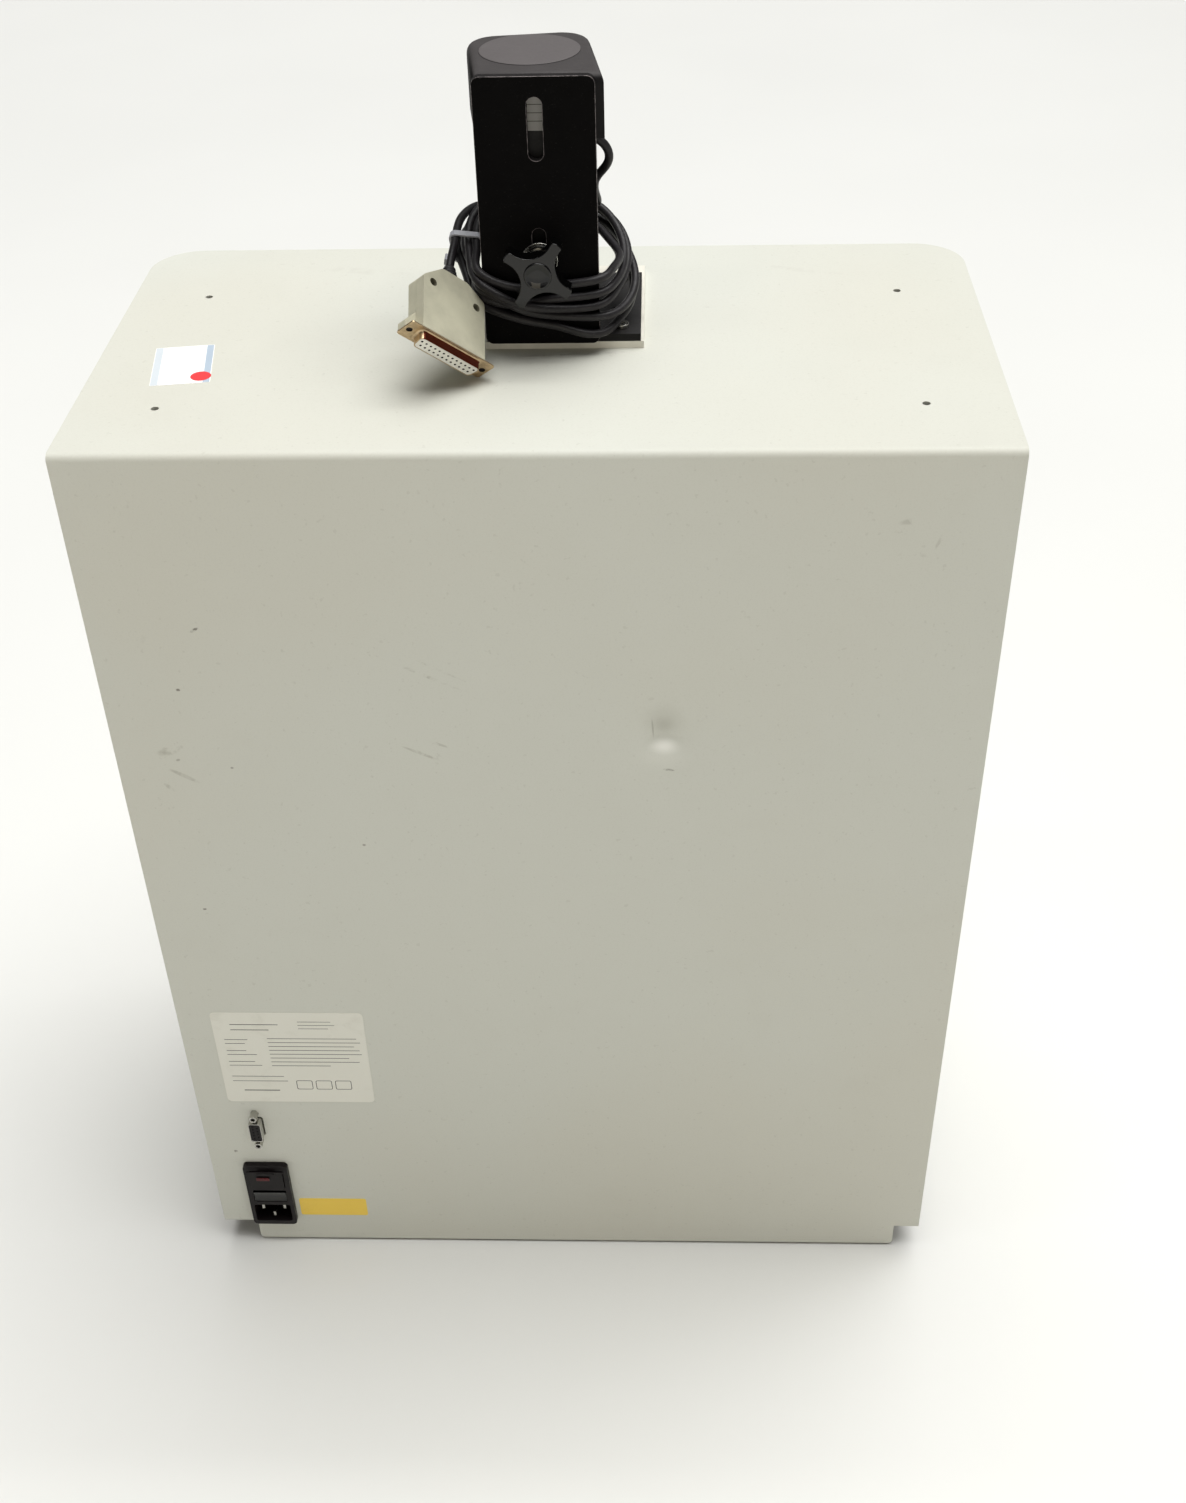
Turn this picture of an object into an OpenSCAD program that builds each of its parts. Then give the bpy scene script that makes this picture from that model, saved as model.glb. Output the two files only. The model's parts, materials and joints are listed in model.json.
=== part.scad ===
// Gel documentation system: a light-tight sheet-metal cabinet with a hinged
// door, a transilluminator in a drawer, a filter wheel, and a small camera on a
// slotted stand on the roof. Millimetres. +Z is up, +Y points to the front
// (door) side, +X is to the right when the rear panel is faced.
// The origin is on the floor, in the middle of the footprint.

/* [Cabinet] */
// Outside width of the cabinet
cab_w = 457; // [455:1:460]
// Outside depth of the casing, without door and connectors
cab_d = 246; // [245:1:247]
// Height of the casing from its lower edge to the roof
cab_h = 567; // [565:1:569]
// Height of the rubber feet
foot_h = 20; // [16:1:22]
// Thickness of the casing sheet
sheet = 2; // [1.6:0.2:2.2]
// Outer radius of the two front vertical corners
corner_r = 27; // [20:1:30]
// Depth that the rear panel hangs below the casing's lower edge
skirt_h = 18; // [8:1:18]

/* [Door and drawer] */
// Width of the door
door_w = 380; // [376:1:382]
// Radius of the hinge pins
pin_r = 1.95; // [1.9:0.01:1.96]
// Width of the drawer front
drawer_w = 376; // [370:1:380]
// Number of ultraviolet tubes in the transilluminator
tube_count = 6; // [4:1:6]

/* [Camera stand] */
// Width of the slotted upright plate
plate_w = 58; // [54:1:60]
// Thickness of the slotted upright plate
plate_t = 4.5; // [4:0.1:5]
// Outer radius of the star knob's lobes
knob_r = 18; // [15:0.5:18.5]
// Radius of the lens barrel
lens_r = 19; // [18.6:0.1:19.2]
// Diameter of the camera lead
lead_d = 4.3; // [4:0.1:4.6]

/* [Hidden] */
$fn = 64;
e = 0.05;
hw = cab_w / 2;               // half width
yr = -140;                    // outer face of the rear panel
yf = yr + cab_d;              // outer face of the casing front, 106
zb = foot_h;                  // lower edge of the casing
T = zb + cab_h;               // roof, 587
yi = yf - sheet;              // inner face of the casing front
// the optical axis
lx = 0;
ly = -2;
// star knob axis height
kz = T + 49.5;
// outer face of the upright plate
py = -33;
// filter wheel axis
wx = 60;
// middle of the power inlet and of the serial port on the rear panel
ix = -193.7;
iz = 49.9;
sx = -194;
sz = 113.9;
cream = [0.86, 0.85, 0.79];
black = [0.07, 0.07, 0.075];
steel = [0.72, 0.72, 0.72];

// axis-aligned block between two corners
module blk(x0, x1, y0, y1, z0, z1) {
  translate([x0, y0, z0]) cube([x1 - x0, y1 - y0, z1 - z0]);
}
// cylinder along Y from y0 to y1
module cyl_y(x, z, r, y0, y1, fn = 64) {
  translate([x, y1, z]) rotate([90, 0, 0]) cylinder(h = y1 - y0, r = r, $fn = fn);
}
// cylinder along X
module cyl_x(y, z, r, x0, x1) {
  translate([x0, y, z]) rotate([0, 90, 0]) cylinder(h = x1 - x0, r = r);
}
// plan outline with two rounded front corners
module plan(w, y0, y1, r) {
  translate([-w / 2, y0]) square([w, y1 - y0 - r]);
  translate([-w / 2 + r, y0]) square([w - 2 * r, y1 - y0]);
  for (s = [-1, 1]) translate([s * (w / 2 - r), y1 - r]) circle(r = r);
}
// rectangle w by h with corner radius r, centred
module rrect(w, h, r) {
  square([w - 2 * r, h], center = true);
  square([w, h - 2 * r], center = true);
  for (a = [-1, 1]) for (b = [-1, 1]) translate([a * (w / 2 - r), b * (h / 2 - r)]) circle(r = r);
}
// rounded plate in the XZ plane between y0 and y1
module plate_y(x, z, w, h, r, y0, y1) {
  translate([x, y1, z]) rotate([90, 0, 0]) linear_extrude(height = y1 - y0) rrect(w, h, r);
}
// slot in the XZ plane with round ends, centres at z0 and z1
module slot_y(x, z0, z1, r, y0, y1) {
  cyl_y(x, z0, r, y0, y1);
  cyl_y(x, z1, r, y0, y1);
  blk(x - r, x + r, y0, y1, z0, z1);
}

// ---------------------------------------------------------------- cabinet
module casing_wrap() {
  color(cream) difference() {
    translate([0, 0, zb]) linear_extrude(height = cab_h - sheet)
      plan(cab_w, yr + sheet, yf, corner_r);
    translate([0, 0, zb - 1]) linear_extrude(height = cab_h + 2)
      plan(cab_w - 2 * sheet, yr - 5, yi, corner_r - sheet);
    blk(-176, 176, yi - 5, yf + 5, 206, 546);       // door opening
    blk(-181, 181, yi - 5, yf + 5, 80, 190);        // drawer opening
    blk(-150, 150, yi - 5, yf + 5, 34, 64);         // behind the switch panel
    blk(24, 96, yi - 5, yf + 5, 557, 567);          // filter wheel slot
  }
}
module top_rear_panel() {
  color(cream) difference() {
    union() {
      intersection() {
        // bent sheet: roof and rear in one piece with a small outer radius
        translate([-hw, 0, 0]) rotate([90, 0, 90]) linear_extrude(height = cab_w) {
          translate([yr, zb]) square([sheet, cab_h - 4]);
          translate([yr + 4, T - sheet]) square([cab_d - 4, sheet]);
          difference() {
            translate([yr + 4, T - 4]) circle(r = 4);
            translate([yr + 4, T - 4]) circle(r = 4 - sheet);
            translate([yr + 4, T - 9]) square([5, 10]);
            translate([yr - 1, T - 9]) square([10, 5]);
          }
        }
        translate([0, 0, zb - 1]) linear_extrude(height = cab_h + 2) plan(cab_w, yr, yf, corner_r);
      }
      // skirt below the casing
      plate_y(3, zb - skirt_h / 2 + 4, 419, skirt_h + 8, 3, yr, yr + sheet);
    }
    for (x = [-187, 187]) for (y = [-92.5, 40.5]) translate([x, y, T - 10]) cylinder(h = 20, r = 2);
    translate([lx, ly, T - 10]) cylinder(h = 20, r = 21);
    for (p = stand_holes) translate([p[0], p[1], T - 10]) cylinder(h = 20, r = 2.1);
    plate_y(ix, iz, 26.4, 54.4, 2, yr - 5, yr + 5);
    plate_y(sx, sz, 9.2, 17.6, 2, yr - 5, yr + 5);
    for (s = [-1, 1]) cyl_y(sx, sz + s * 12.495, 1.8, yr - 5, yr + 5);
  }
}
module base_pan() {
  color(steel) difference() {
    union() {
      translate([0, 0, zb]) linear_extrude(height = 2) plan(cab_w - 2 * sheet, yr + sheet, yi, corner_r - sheet);
      for (s = [-1, 1]) translate([s > 0 ? hw - sheet - 1.5 : -hw + sheet, yr + sheet, zb + 2]) cube([1.5, 190, 14]);
    }
    // cooling slots
    for (i = [0 : 7]) blk(60 + 14 * i, 66 + 14 * i, 0, 70, zb - 1, zb + 3);
  }
}
module rubber_feet() {
  color(black) for (x = [-195, 195]) for (y = [-118, 84])
    translate([x, y, 0]) cylinder(h = foot_h, r1 = 13, r2 = 15);
}
module drawer_shelf() {
  color(steel) difference() {
    translate([0, 0, 74]) linear_extrude(height = 2) plan(cab_w - 2 * sheet, yr + sheet, yi, corner_r - sheet);
    blk(ix - 17, ix + 17, yr, yr + 42, 70, 80);   // clears the power inlet
  }
}
// one lamp housing on the right wall; the left one is its mirror
module lamp_housing() {
  translate([0, 78, 0]) rotate([90, 0, 0]) linear_extrude(height = 212) difference() {
    polygon([[226.5, 534], [226.5, 470], [208, 462], [172, 500], [172, 534]]);
    polygon([[224.5, 532], [224.5, 472], [206, 456], [168, 496], [174, 502], [174, 532]]);
  }
  for (y = [-134, 74]) blk(186, 224.5, y, y + 4, 486, 530);
}
module lamp_housings() {
  color(black) { lamp_housing(); mirror([1, 0, 0]) lamp_housing(); }
}
module lamp_tubes() {
  color("white") for (s = [-1, 1]) cyl_y(s * 204, 506, 7.75, -130, 74);
}
module power_supply() {
  color(steel) difference() {
    blk(60, 170, -120, -30, zb + 2, 66);
    for (i = [0 : 5]) blk(72 + 16 * i, 78 + 16 * i, -100, -50, 62, 67);
  }
}
module lamp_ballasts() {
  color([0.2, 0.2, 0.22]) for (x = [-150, -95, -40]) {
    blk(x, x + 38, -100, 40, zb + 2, 52);
    blk(x - 6, x + 44, -92, -84, zb + 2, zb + 4);
    blk(x - 6, x + 44, 24, 32, zb + 2, zb + 4);
  }
}
module control_panel() {
  color([0.25, 0.26, 0.28]) difference() {
    plate_y(0, 49, 376, 46, 4, yf, yf + 2.5);
    for (x = rocker_x) plate_y(x, 49, 16.2, 26.2, 0.6, yf - 5, yf + 5);
    for (s = [-1, 1]) cyl_y(s * 178, 49, 2.2, yf - 5, yf + 5);
  }
}
rocker_x = [-120, -84, -48];
// pivot of the panel rockers
ry = yf + 1.5;
rz = 49;
module switch_bezels() {
  color(black) for (x = rocker_x) difference() {
    union() {
      plate_y(x, rz, 20, 30, 2, yf + 2.5, yf + 4.5);
      plate_y(x, rz, 16, 26, 0.5, yf - 12, yf + 2.5);
    }
    plate_y(x, rz, 13.6, 23.4, 0.3, yf - 9, yf + 5);
    cyl_x(ry, rz, 1.25, x - 7.95, x + 7.95);
  }
}
// rocker paddle: w wide, h tall, pivot pins along X; tilted by the angle a at rest
module rocker(w, h, a, pin_l) {
  rotate([a, 0, 0]) {
    translate([-w / 2, 0, 0]) rotate([90, 0, 90]) linear_extrude(height = w)
      polygon([[5.5, -h / 2], [4, 0], [5.5, h / 2], [1, h / 2], [-h * 0.28, 0], [1, -h / 2]]);
    cyl_x(0, 0, 1.2, -w / 2 - pin_l, w / 2 + pin_l);
  }
}
module power_rocker() { color([0.7, 0.1, 0.08]) translate([rocker_x[0], ry, rz]) rocker(13, 21, 7, 1.2); }
module uv_rocker() { color(black) translate([rocker_x[1], ry, rz]) rocker(13, 21, 7, 1.2); }
module white_rocker() { color(black) translate([rocker_x[2], ry, rz]) rocker(13, 21, 7, 1.2); }

module door_magnet() {
  color(steel) {
    blk(178, 190, yi - 12, yi, 366, 394);
    blk(180, 188, yf, yf + 0.6, 370, 390);
  }
}
// hinge axis and heights
hx = -196;
hy = yf + 8;
hinge_z = [262, 494];
module hinge_frame_leaves() {
  color(steel) for (z = hinge_z) difference() {
    union() {
      blk(-214, -203, yf, yf + 2.5, z - 20, z + 20);
      for (s = [-1, 1]) translate([0, 0, z + s * 13.1]) {
        translate([hx, hy, -6.9]) cylinder(h = 13.8, r = 4.5);
        blk(-204, hx, yf, yf + 4.5, -6.9, 6.9);
      }
    }
    translate([hx, hy, z - 30]) cylinder(h = 60, r = pin_r + 0.05);
  }
}
module hinge_door_leaves() {
  color(steel) for (z = hinge_z) difference() {
    union() {
      translate([hx, hy, z - 5.9]) cylinder(h = 11.8, r = 4.5);
      blk(hx, -door_w / 2, hy - 2.5, hy + 2.5, z - 5.9, z + 5.9);
    }
    translate([hx, hy, z - 30]) cylinder(h = 60, r = pin_r + 0.05);
  }
}
module hinge_pins() {
  color(steel) for (z = hinge_z) translate([hx, hy, z - 21]) {
    cylinder(h = 42, r = pin_r);
    translate([0, 0, 41.3]) cylinder(h = 1.7, r = 3.4);
  }
}
module drawer_rails() {
  color(steel) for (s = [-1, 1]) scale([1, 1, 1]) mirror([s < 0 ? 1 : 0, 0, 0]) difference() {
    blk(176, 182, -96, 103, 76, 112);
    blk(175, 179.5, -97, 104, 93.6, 106.4);
  }
}
module wheel_spindle() {
  color(steel) translate([wx, ly, 0]) {
    translate([0, 0, T - sheet - 3]) cylinder(h = 3, r = 12);
    translate([0, 0, 568.4]) cylinder(h = T - sheet - 3 - 568.4, r = 7);
    translate([0, 0, 554]) cylinder(h = 20, r = 4);
    translate([0, 0, 554]) cylinder(h = 6.1, r = 8);
  }
}
module filter_wheel() {
  color(black) difference() {
    union() {
      translate([wx, ly, 560.5]) cylinder(h = 3, r = 112, $fn = 96);
      translate([wx, ly, 560.5]) cylinder(h = 7.5, r = 11);
    }
    translate([wx, ly, 550]) cylinder(h = 30, r = 4.06);
    for (a = [0 : 90 : 270]) translate([wx, ly, 550]) rotate([0, 0, a]) translate([60, 0, 0]) cylinder(h = 30, r = 21);
    for (a = [0 : 90 : 270]) translate([wx, ly, 562]) rotate([0, 0, a]) translate([60, 0, 0]) cylinder(h = 5, r = 24.1);
    for (a = [0 : 10 : 350]) translate([wx, ly, 550]) rotate([0, 0, a]) translate([113.5, 0, 0]) cylinder(h = 30, r = 3.2, $fn = 24);
  }
}
module wheel_filters() {
  for (i = [0 : 2]) color([[0.9, 0.45, 0.1, 0.5], [0.2, 0.6, 0.3, 0.5], [0.8, 0.15, 0.15, 0.5]][i])
    translate([wx, ly, 562]) rotate([0, 0, 180 + 90 * i]) translate([60, 0, 0]) cylinder(h = 3, r = 24);
}

// ---------------------------------------------------------------- rear connections
module inlet_housing() {
  color(black) difference() {
    union() {
      plate_y(ix, iz, 28.6, 58.7, 3, yr - 3.6, yr);
      plate_y(ix, iz, 26, 54, 1.6, yr, yr + 36);
    }
    plate_y(ix, iz + 15.8, 22, 17, 0.6, yr - 5, yr + 24);      // fuse drawer bay
    plate_y(ix, iz - 0.6, 21.6, 11.4, 0.6, yr - 5, yr + 10);   // switch bay
    plate_y(ix, iz - 17.6, 23.6, 16.4, 1.6, yr - 5, yr + 13);  // mains socket
    cyl_x(yr + 0.6, iz - 0.6, 1.25, ix - 12.4, ix + 12.4);
  }
}
module inlet_pins() {
  color([0.8, 0.78, 0.7]) {
    for (s = [-1, 1]) blk(ix + s * 7 - 1, ix + s * 7 + 1, yr - 0.5, yr + 13, iz - 17.4, iz - 13.4);
    blk(ix - 1, ix + 1, yr - 1.5, yr + 13, iz - 23.4, iz - 19.4);
  }
}
module fuse_drawer() {
  color([0.16, 0.12, 0.12]) difference() {
    union() {
      plate_y(ix, iz + 15.8, 21.4, 16.4, 0.6, yr - 4.4, yr + 22);
      plate_y(ix, iz + 23, 12, 2, 0.6, yr - 5.6, yr - 4);
    }
    blk(ix - 8, ix + 8, yr + 2, yr + 20, iz + 11, iz + 25);
  }
}
module inlet_rocker() {
  color(black) translate([ix, yr + 0.6, iz - 0.6]) mirror([0, 1, 0]) rotate([0, 0, 0]) rotate([-6, 0, 0]) {
    translate([-10.5, 0, 0]) rotate([90, 0, 90]) linear_extrude(height = 21)
      polygon([[4.4, -4.8], [3.8, 0], [4.4, 4.8], [0.8, 4.8], [-2.6, 0], [0.8, -4.8]]);
    cyl_x(0, 0, 1.2, -11.8, 11.8);
  }
}
module serial_shell() {
  color(steel) difference() {
    union() {
      plate_y(sx, sz, 8, 16.4, 2, yr - 5.8, yr + sheet + 0.9);
      plate_y(sx, sz, 12.5, 30.8, 1, yr + sheet, yr + sheet + 0.9);
    }
    plate_y(sx, sz, 6.9, 15.3, 1.5, yr - 7, yr + sheet + 2);
    for (s = [-1, 1]) cyl_y(sx, sz + s * 12.495, 1.6, yr, yr + 5);
  }
}
module serial_insulator() {
  color(black) difference() {
    plate_y(sx, sz, 6.9, 15.3, 1.5, yr - 5.4, yr + 9);
    for (i = [0 : 4]) cyl_y(sx - 1.42, sz + (i - 2) * 2.77, 0.55, yr - 6, yr, 20);
    for (i = [0 : 3]) cyl_y(sx + 1.42, sz + (i - 1.5) * 2.77, 0.55, yr - 6, yr, 20);
  }
}
module serial_jackscrews() {
  color(steel) for (s = [-1, 1]) difference() {
    union() {
      cyl_y(sx, sz + s * 12.495, 2.7, yr - 6, yr, 6);
      cyl_y(sx, sz + s * 12.495, 1.55, yr, yr + 6);
    }
    cyl_y(sx, sz + s * 12.495, 1.4, yr - 7, yr - 0.8);
  }
}
module plain_labels() {
  color([0.93, 0.93, 0.9]) plate_y(-162.9, 176.8, 91.6, 78.6, 3, yr - 0.3, yr);
  color([0.95, 0.78, 0.25]) plate_y(-154.4, 34.6, 44, 16.6, 1.5, yr - 0.3, yr);
  color("white") translate([-183.5, -44.5, T]) rotate([0, 0, 8]) translate([-15, -22, 0]) cube([30, 44, 0.3]);
}

// ---------------------------------------------------------------- camera stand
stand_holes = [[39.8, -20], [39.8, 42], [-22, 42], [-24.5, -22]];
module stand_shim() {
  color([0.92, 0.92, 0.9]) difference() {
    blk(-30, 51, py + plate_t, 69, T, T + 3.8);
    translate([lx, ly, T - 1]) cylinder(h = 10, r = 24.5);
    for (p = stand_holes) translate([p[0], p[1], T - 1]) cylinder(h = 10, r = 2.1);
  }
}
module stand_base_plate() {
  color(black) difference() {
    blk(-29, 49.5, py + plate_t, 50, T + 3.8, T + 7.8);
    translate([lx, ly, T]) cylinder(h = 20, r = 24.5);
    for (p = stand_holes) translate([p[0], p[1], T]) cylinder(h = 20, r = 2.1);
    translate([36.5, 3, T]) cylinder(h = 20, r = 2);
  }
}
module stand_upright() {
  color(black) difference() {
    plate_y(0, T + 71.3, plate_w, 132.8, 4, py, py + plate_t);
    slot_y(0, T + 49.4, T + 61.8, 3.4, py - 5, py + 10);
    slot_y(0.2, T + 101.8, T + 124.4, 3.7, py - 5, py + 10);
  }
}
module stand_screws() {
  color(steel) for (p = stand_holes) translate([p[0], p[1], 0]) {
    translate([0, 0, T - 8]) cylinder(h = 15.8, r = 2);
    difference() {
      translate([0, 0, T + 7.8]) cylinder(h = 2.2, r = 3.6);
      translate([0, 0, T + 9]) cylinder(h = 3, r = 1.5, $fn = 6);
    }
  }
}
module lens_collar() {
  color(black) difference() {
    translate([lx, ly, T]) cylinder(h = 11, r = 24.4);
    translate([lx, ly, T - 1]) cylinder(h = 14, r = lens_r + 0.4);
  }
}
module camera_body() {
  color(black) difference() {
    union() {
      blk(-21, 21, -27.9, 24, T + 34, T + 133.7);
      blk(-10, 10, -8, 16, T + 133.7, T + 135.7);
    }
    cyl_y(0, kz, 3.2, -30, -17);
  }
}
module camera_label() {
  color([0.8, 0.8, 0.8]) blk(-15, 15, -28.1, -27.9, T + 111, T + 131);
}
// plan outline of the hood: a rounded front, a little skew to the stand
module hood_plan(g) {
  translate([0, -9]) rotate(8) translate([-31 + g, -40]) union() {
    translate([0, 0]) square([61 - 2 * g, 70 + g]);
    translate([15 - g, 0]) square([31, 87 - g]);
    for (x = [15 - g, 46 - g]) translate([x, 72]) circle(r = 15 - g);
    translate([0, 0]) square([61 - 2 * g, 72]);
  }
}
module camera_hood() {
  color([0.2, 0.19, 0.19]) intersection() {
    difference() {
      union() {
        translate([0, 0, T + 106.7]) linear_extrude(height = 31) hood_plan(0);
        translate([-2, 8, T + 137.7]) cylinder(h = 0.5, r = 26.5);
      }
      translate([0, 0, T + 100]) linear_extrude(height = 35.7) hood_plan(2);
    }
    blk(-60, 60, py + plate_t + 0.5, 80, T + 90, T + 150);
  }
}
module lens_barrel() {
  color(black) difference() {
    union() {
      translate([lx, ly, T - 16]) cylinder(h = 50, r = lens_r);
      translate([lx, ly, T + 28.4]) cylinder(h = 5.6, r = 22);
    }
    translate([lx, ly, T - 17]) cylinder(h = 8, r1 = 16, r2 = 12);
  }
}
module focus_ring() {
  color(black) difference() {
    translate([lx, ly, T + 15]) cylinder(h = 13, r = 22.6);
    translate([lx, ly, T + 10]) cylinder(h = 30, r = lens_r + 0.06);
    for (a = [0 : 15 : 345]) translate([lx, ly, T + 17]) rotate([0, 0, a]) translate([23.2, 0, 0]) cylinder(h = 9, r = 1.4, $fn = 24);
  }
}
module clamp_washer() {
  color(steel) difference() {
    cyl_y(0, kz, 9, py - 1.9, py - 0.3);
    cyl_y(0, kz, 3.2, py - 5, py + 5);
  }
}
module clamp_knob() {
  color(black) difference() {
    union() {
      cyl_y(0, kz, 3.1, py - 8, -18);
      cyl_y(0, kz, 8, py - 14, py - 2.2);
      translate([0, py - 12, kz]) rotate([90, 0, 0]) linear_extrude(height = 9) {
        circle(r = 9);
        for (a = [55 : 90 : 325]) rotate(a) {
          translate([knob_r - 3.6, 0]) circle(r = 3.6);
          translate([0, -3.4]) square([knob_r - 3.6, 6.8]);
        }
      }
      cyl_y(0, kz, 7.4, py - 22, py - 16);
    }
    cyl_y(0, kz, 5.6, py - 24, py - 21.2);
  }
}

// ---------------------------------------------------------------- camera lead
// sweeps a round tube of n sides along points p
function unit(v) = v / norm(v);
function tang(p, i) = unit(p[min(i + 1, len(p) - 1)] - p[max(i - 1, 0)]);
function ringpts(p, i, r, n, up) = let(t = tang(p, i), a = unit(cross(t, up)), b = cross(t, a))
  [for (k = [0 : n - 1]) p[i] + r * (cos(360 * k / n) * a + sin(360 * k / n) * b)];
module sweep(p, r, n, up) {
  m = len(p);
  polyhedron(
    points = [for (i = [0 : m - 1]) for (q = ringpts(p, i, r, n, up)) q],
    faces = concat(
      [[for (k = [n - 1 : -1 : 0]) k]],
      [for (i = [0 : m - 2]) for (k = [0 : n - 1])
        let(a = i * n + k, b = i * n + (k + 1) % n, c = b + n, d = a + n) [a, b, c, d]],
      [[for (k = [0 : n - 1]) (m - 1) * n + k]]));
}
exit_route = [[21, -12, T + 104], [24.5, -12, T + 104], [28, -12, T + 103.6], [31.6, -12, T + 102.2],
  [34.6, -11.8, T + 99.8], [36.7, -11.4, T + 96.6], [37.5, -10.8, T + 92.9], [36.6, -9.6, T + 89.2],
  [34.2, -7.8, T + 86.4], [31, -5.4, T + 84], [28.2, -2.2, T + 81], [26, 2.4, T + 76.8], [25.3, 6, T + 72],
  [26, 9.5, T + 66.5], [27.8, 14, T + 61.5], [28.6, 20, T + 57.5], [26, 27, T + 54.5], [20, 32, T + 50.5]];
tail_route = [[-45.6, -30.5, T + 43.5], [-45.2, -26, T + 46], [-44.6, -21.5, T + 48.3],
  [-44.2, -17, T + 49.9], [-43.8, -13, T + 50.4], [-43.5, -9, T + 50]];
module lead_exit() { color(black) sweep(exit_route, lead_d / 2, 10, [0, 1, 0.3]); }
module lead_tail() { color(black) sweep(tail_route, lead_d / 2, 10, [1, 0, 0]); }
// the coil hangs round the camera, its rear higher than its front
module coil_frame() {
  translate([2, -3, T + 35]) rotate([18, 11, 0]) children();
}
module cable_coil() {
  color(black) difference() {
    coil_frame() translate([0, 0, -9]) linear_extrude(height = 18) difference() {
      hull() {
        translate([-8, -6]) circle(r = 39.5, $fn = 48);
        translate([12, -11]) circle(r = 35.5, $fn = 48);
        translate([-12, 14]) circle(r = 35.5, $fn = 48);
        translate([12, 14]) circle(r = 35.5, $fn = 48);
      }
      hull() {
        for (x = [-28, 28]) {
          translate([x, -27.5]) circle(r = 8, $fn = 32);
          translate([x * 0.75, 22]) circle(r = 14, $fn = 32);
        }
      }
    }
    // the plug's cover lies in this notch
    plug_frame() translate([-21, -6.4, -51]) cube([42.4, 12.8, 45]);
  }
}
module cable_tie() {
  color([0.75, 0.75, 0.77]) coil_frame() translate([-43.8, -2, 2.4]) difference() {
    cube([16.2, 3.6, 18.8], center = true);
    cube([14.4, 5, 17], center = true);
  }
}
// data plug lying beside the stand; local Z points out of its mating face
module plug_frame() {
  translate([-44.5, -74.5, T + 21]) rotate([128.5, 39.5, 30]) children();
}
module plug_backshell() {
  color([0.78, 0.76, 0.68]) plug_frame() {
    translate([0, 5.6, 0]) rotate([90, 0, 0]) linear_extrude(height = 11.2)
      polygon([[-19.5, -1], [-19.5, -32], [-7, -42], [9, -42], [20.5, -35.5], [20.5, -1]]);
    rotate([90, 0, 0]) linear_extrude(height = 5.6)
      polygon([[-26, -1], [-26, -5], [-19.5, -13], [20.5, -13], [26, -5], [26, -1]]);
    translate([2, 0, -50]) cylinder(h = 9, r = 4.2);
  }
}
module plug_shell() {
  color([0.75, 0.6, 0.35]) plug_frame() difference() {
    union() {
      translate([0, 0, -1]) linear_extrude(height = 1) rrect(53, 12.5, 1.2);
      linear_extrude(height = 5.8) polygon([[-19.2, 3.9], [19.2, 3.9], [17.8, -3.9], [-17.8, -3.9]]);
    }
    translate([0, 0, -2]) linear_extrude(height = 9) polygon([[-18.5, 3.3], [18.5, 3.3], [17.3, -3.3], [-17.3, -3.3]]);
    for (s = [-1, 1]) translate([s * 23.52, 0, -3]) cylinder(h = 6, r = 1.55);
  }
}
module plug_insulator() {
  color("white") plug_frame() difference() {
    translate([0, 0, -1]) linear_extrude(height = 6.4) polygon([[-18.5, 3.3], [18.5, 3.3], [17.3, -3.3], [-17.3, -3.3]]);
    for (i = [0 : 12]) translate([(i - 6) * 2.77, 1.42, 2]) cylinder(h = 5, r = 0.55, $fn = 16);
    for (i = [0 : 11]) translate([(i - 5.5) * 2.77, -1.42, 2]) cylinder(h = 5, r = 0.55, $fn = 16);
  }
}

// ---------------------------------------------------------------- door
module door_shell() {
  color(cream) difference() {
    plate_y(0, 378, door_w, 348, 4, yf + 1.5, yf + 15);
    plate_y(0, 378, door_w - 4, 344, 2, yf + 1, yf + 13);
    plate_y(0, 425, 124, 74, 4, yf + 10, yf + 20);
  }
}
module door_inner_pan() {
  color(black) difference() {
    union() {
      plate_y(0, 378, door_w - 4, 344, 2, yf + 3.5, yf + 5);
      plate_y(0, 425, 134, 84, 4, yf + 5, yf + 13);
    }
    plate_y(0, 425, 124, 74, 4, yf, yf + 9.5);
    plate_y(0, 425, 130, 80, 2, yf + 9.5, yf + 14);
  }
}
module window_glass() {
  color([0.85, 0.45, 0.1, 0.6]) plate_y(0, 425, 130, 80, 2, yf + 9.5, yf + 13);
}
module door_gasket() {
  color([0.05, 0.05, 0.05]) difference() {
    plate_y(0, 378, 370, 342, 4, yf + 1, yf + 3.5);
    plate_y(0, 378, 358, 330, 3, yf - 1, yf + 5);
    blk(176, 186, yf, yf + 5, 364, 396);
  }
}
module door_handle() {
  color(black) difference() {
    union() {
      blk(158, 172, yf + 34, yf + 40, 322, 434);
      for (z = [322, 422]) blk(158, 172, yf + 15, yf + 34, z, z + 12);
    }
  }
}
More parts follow.
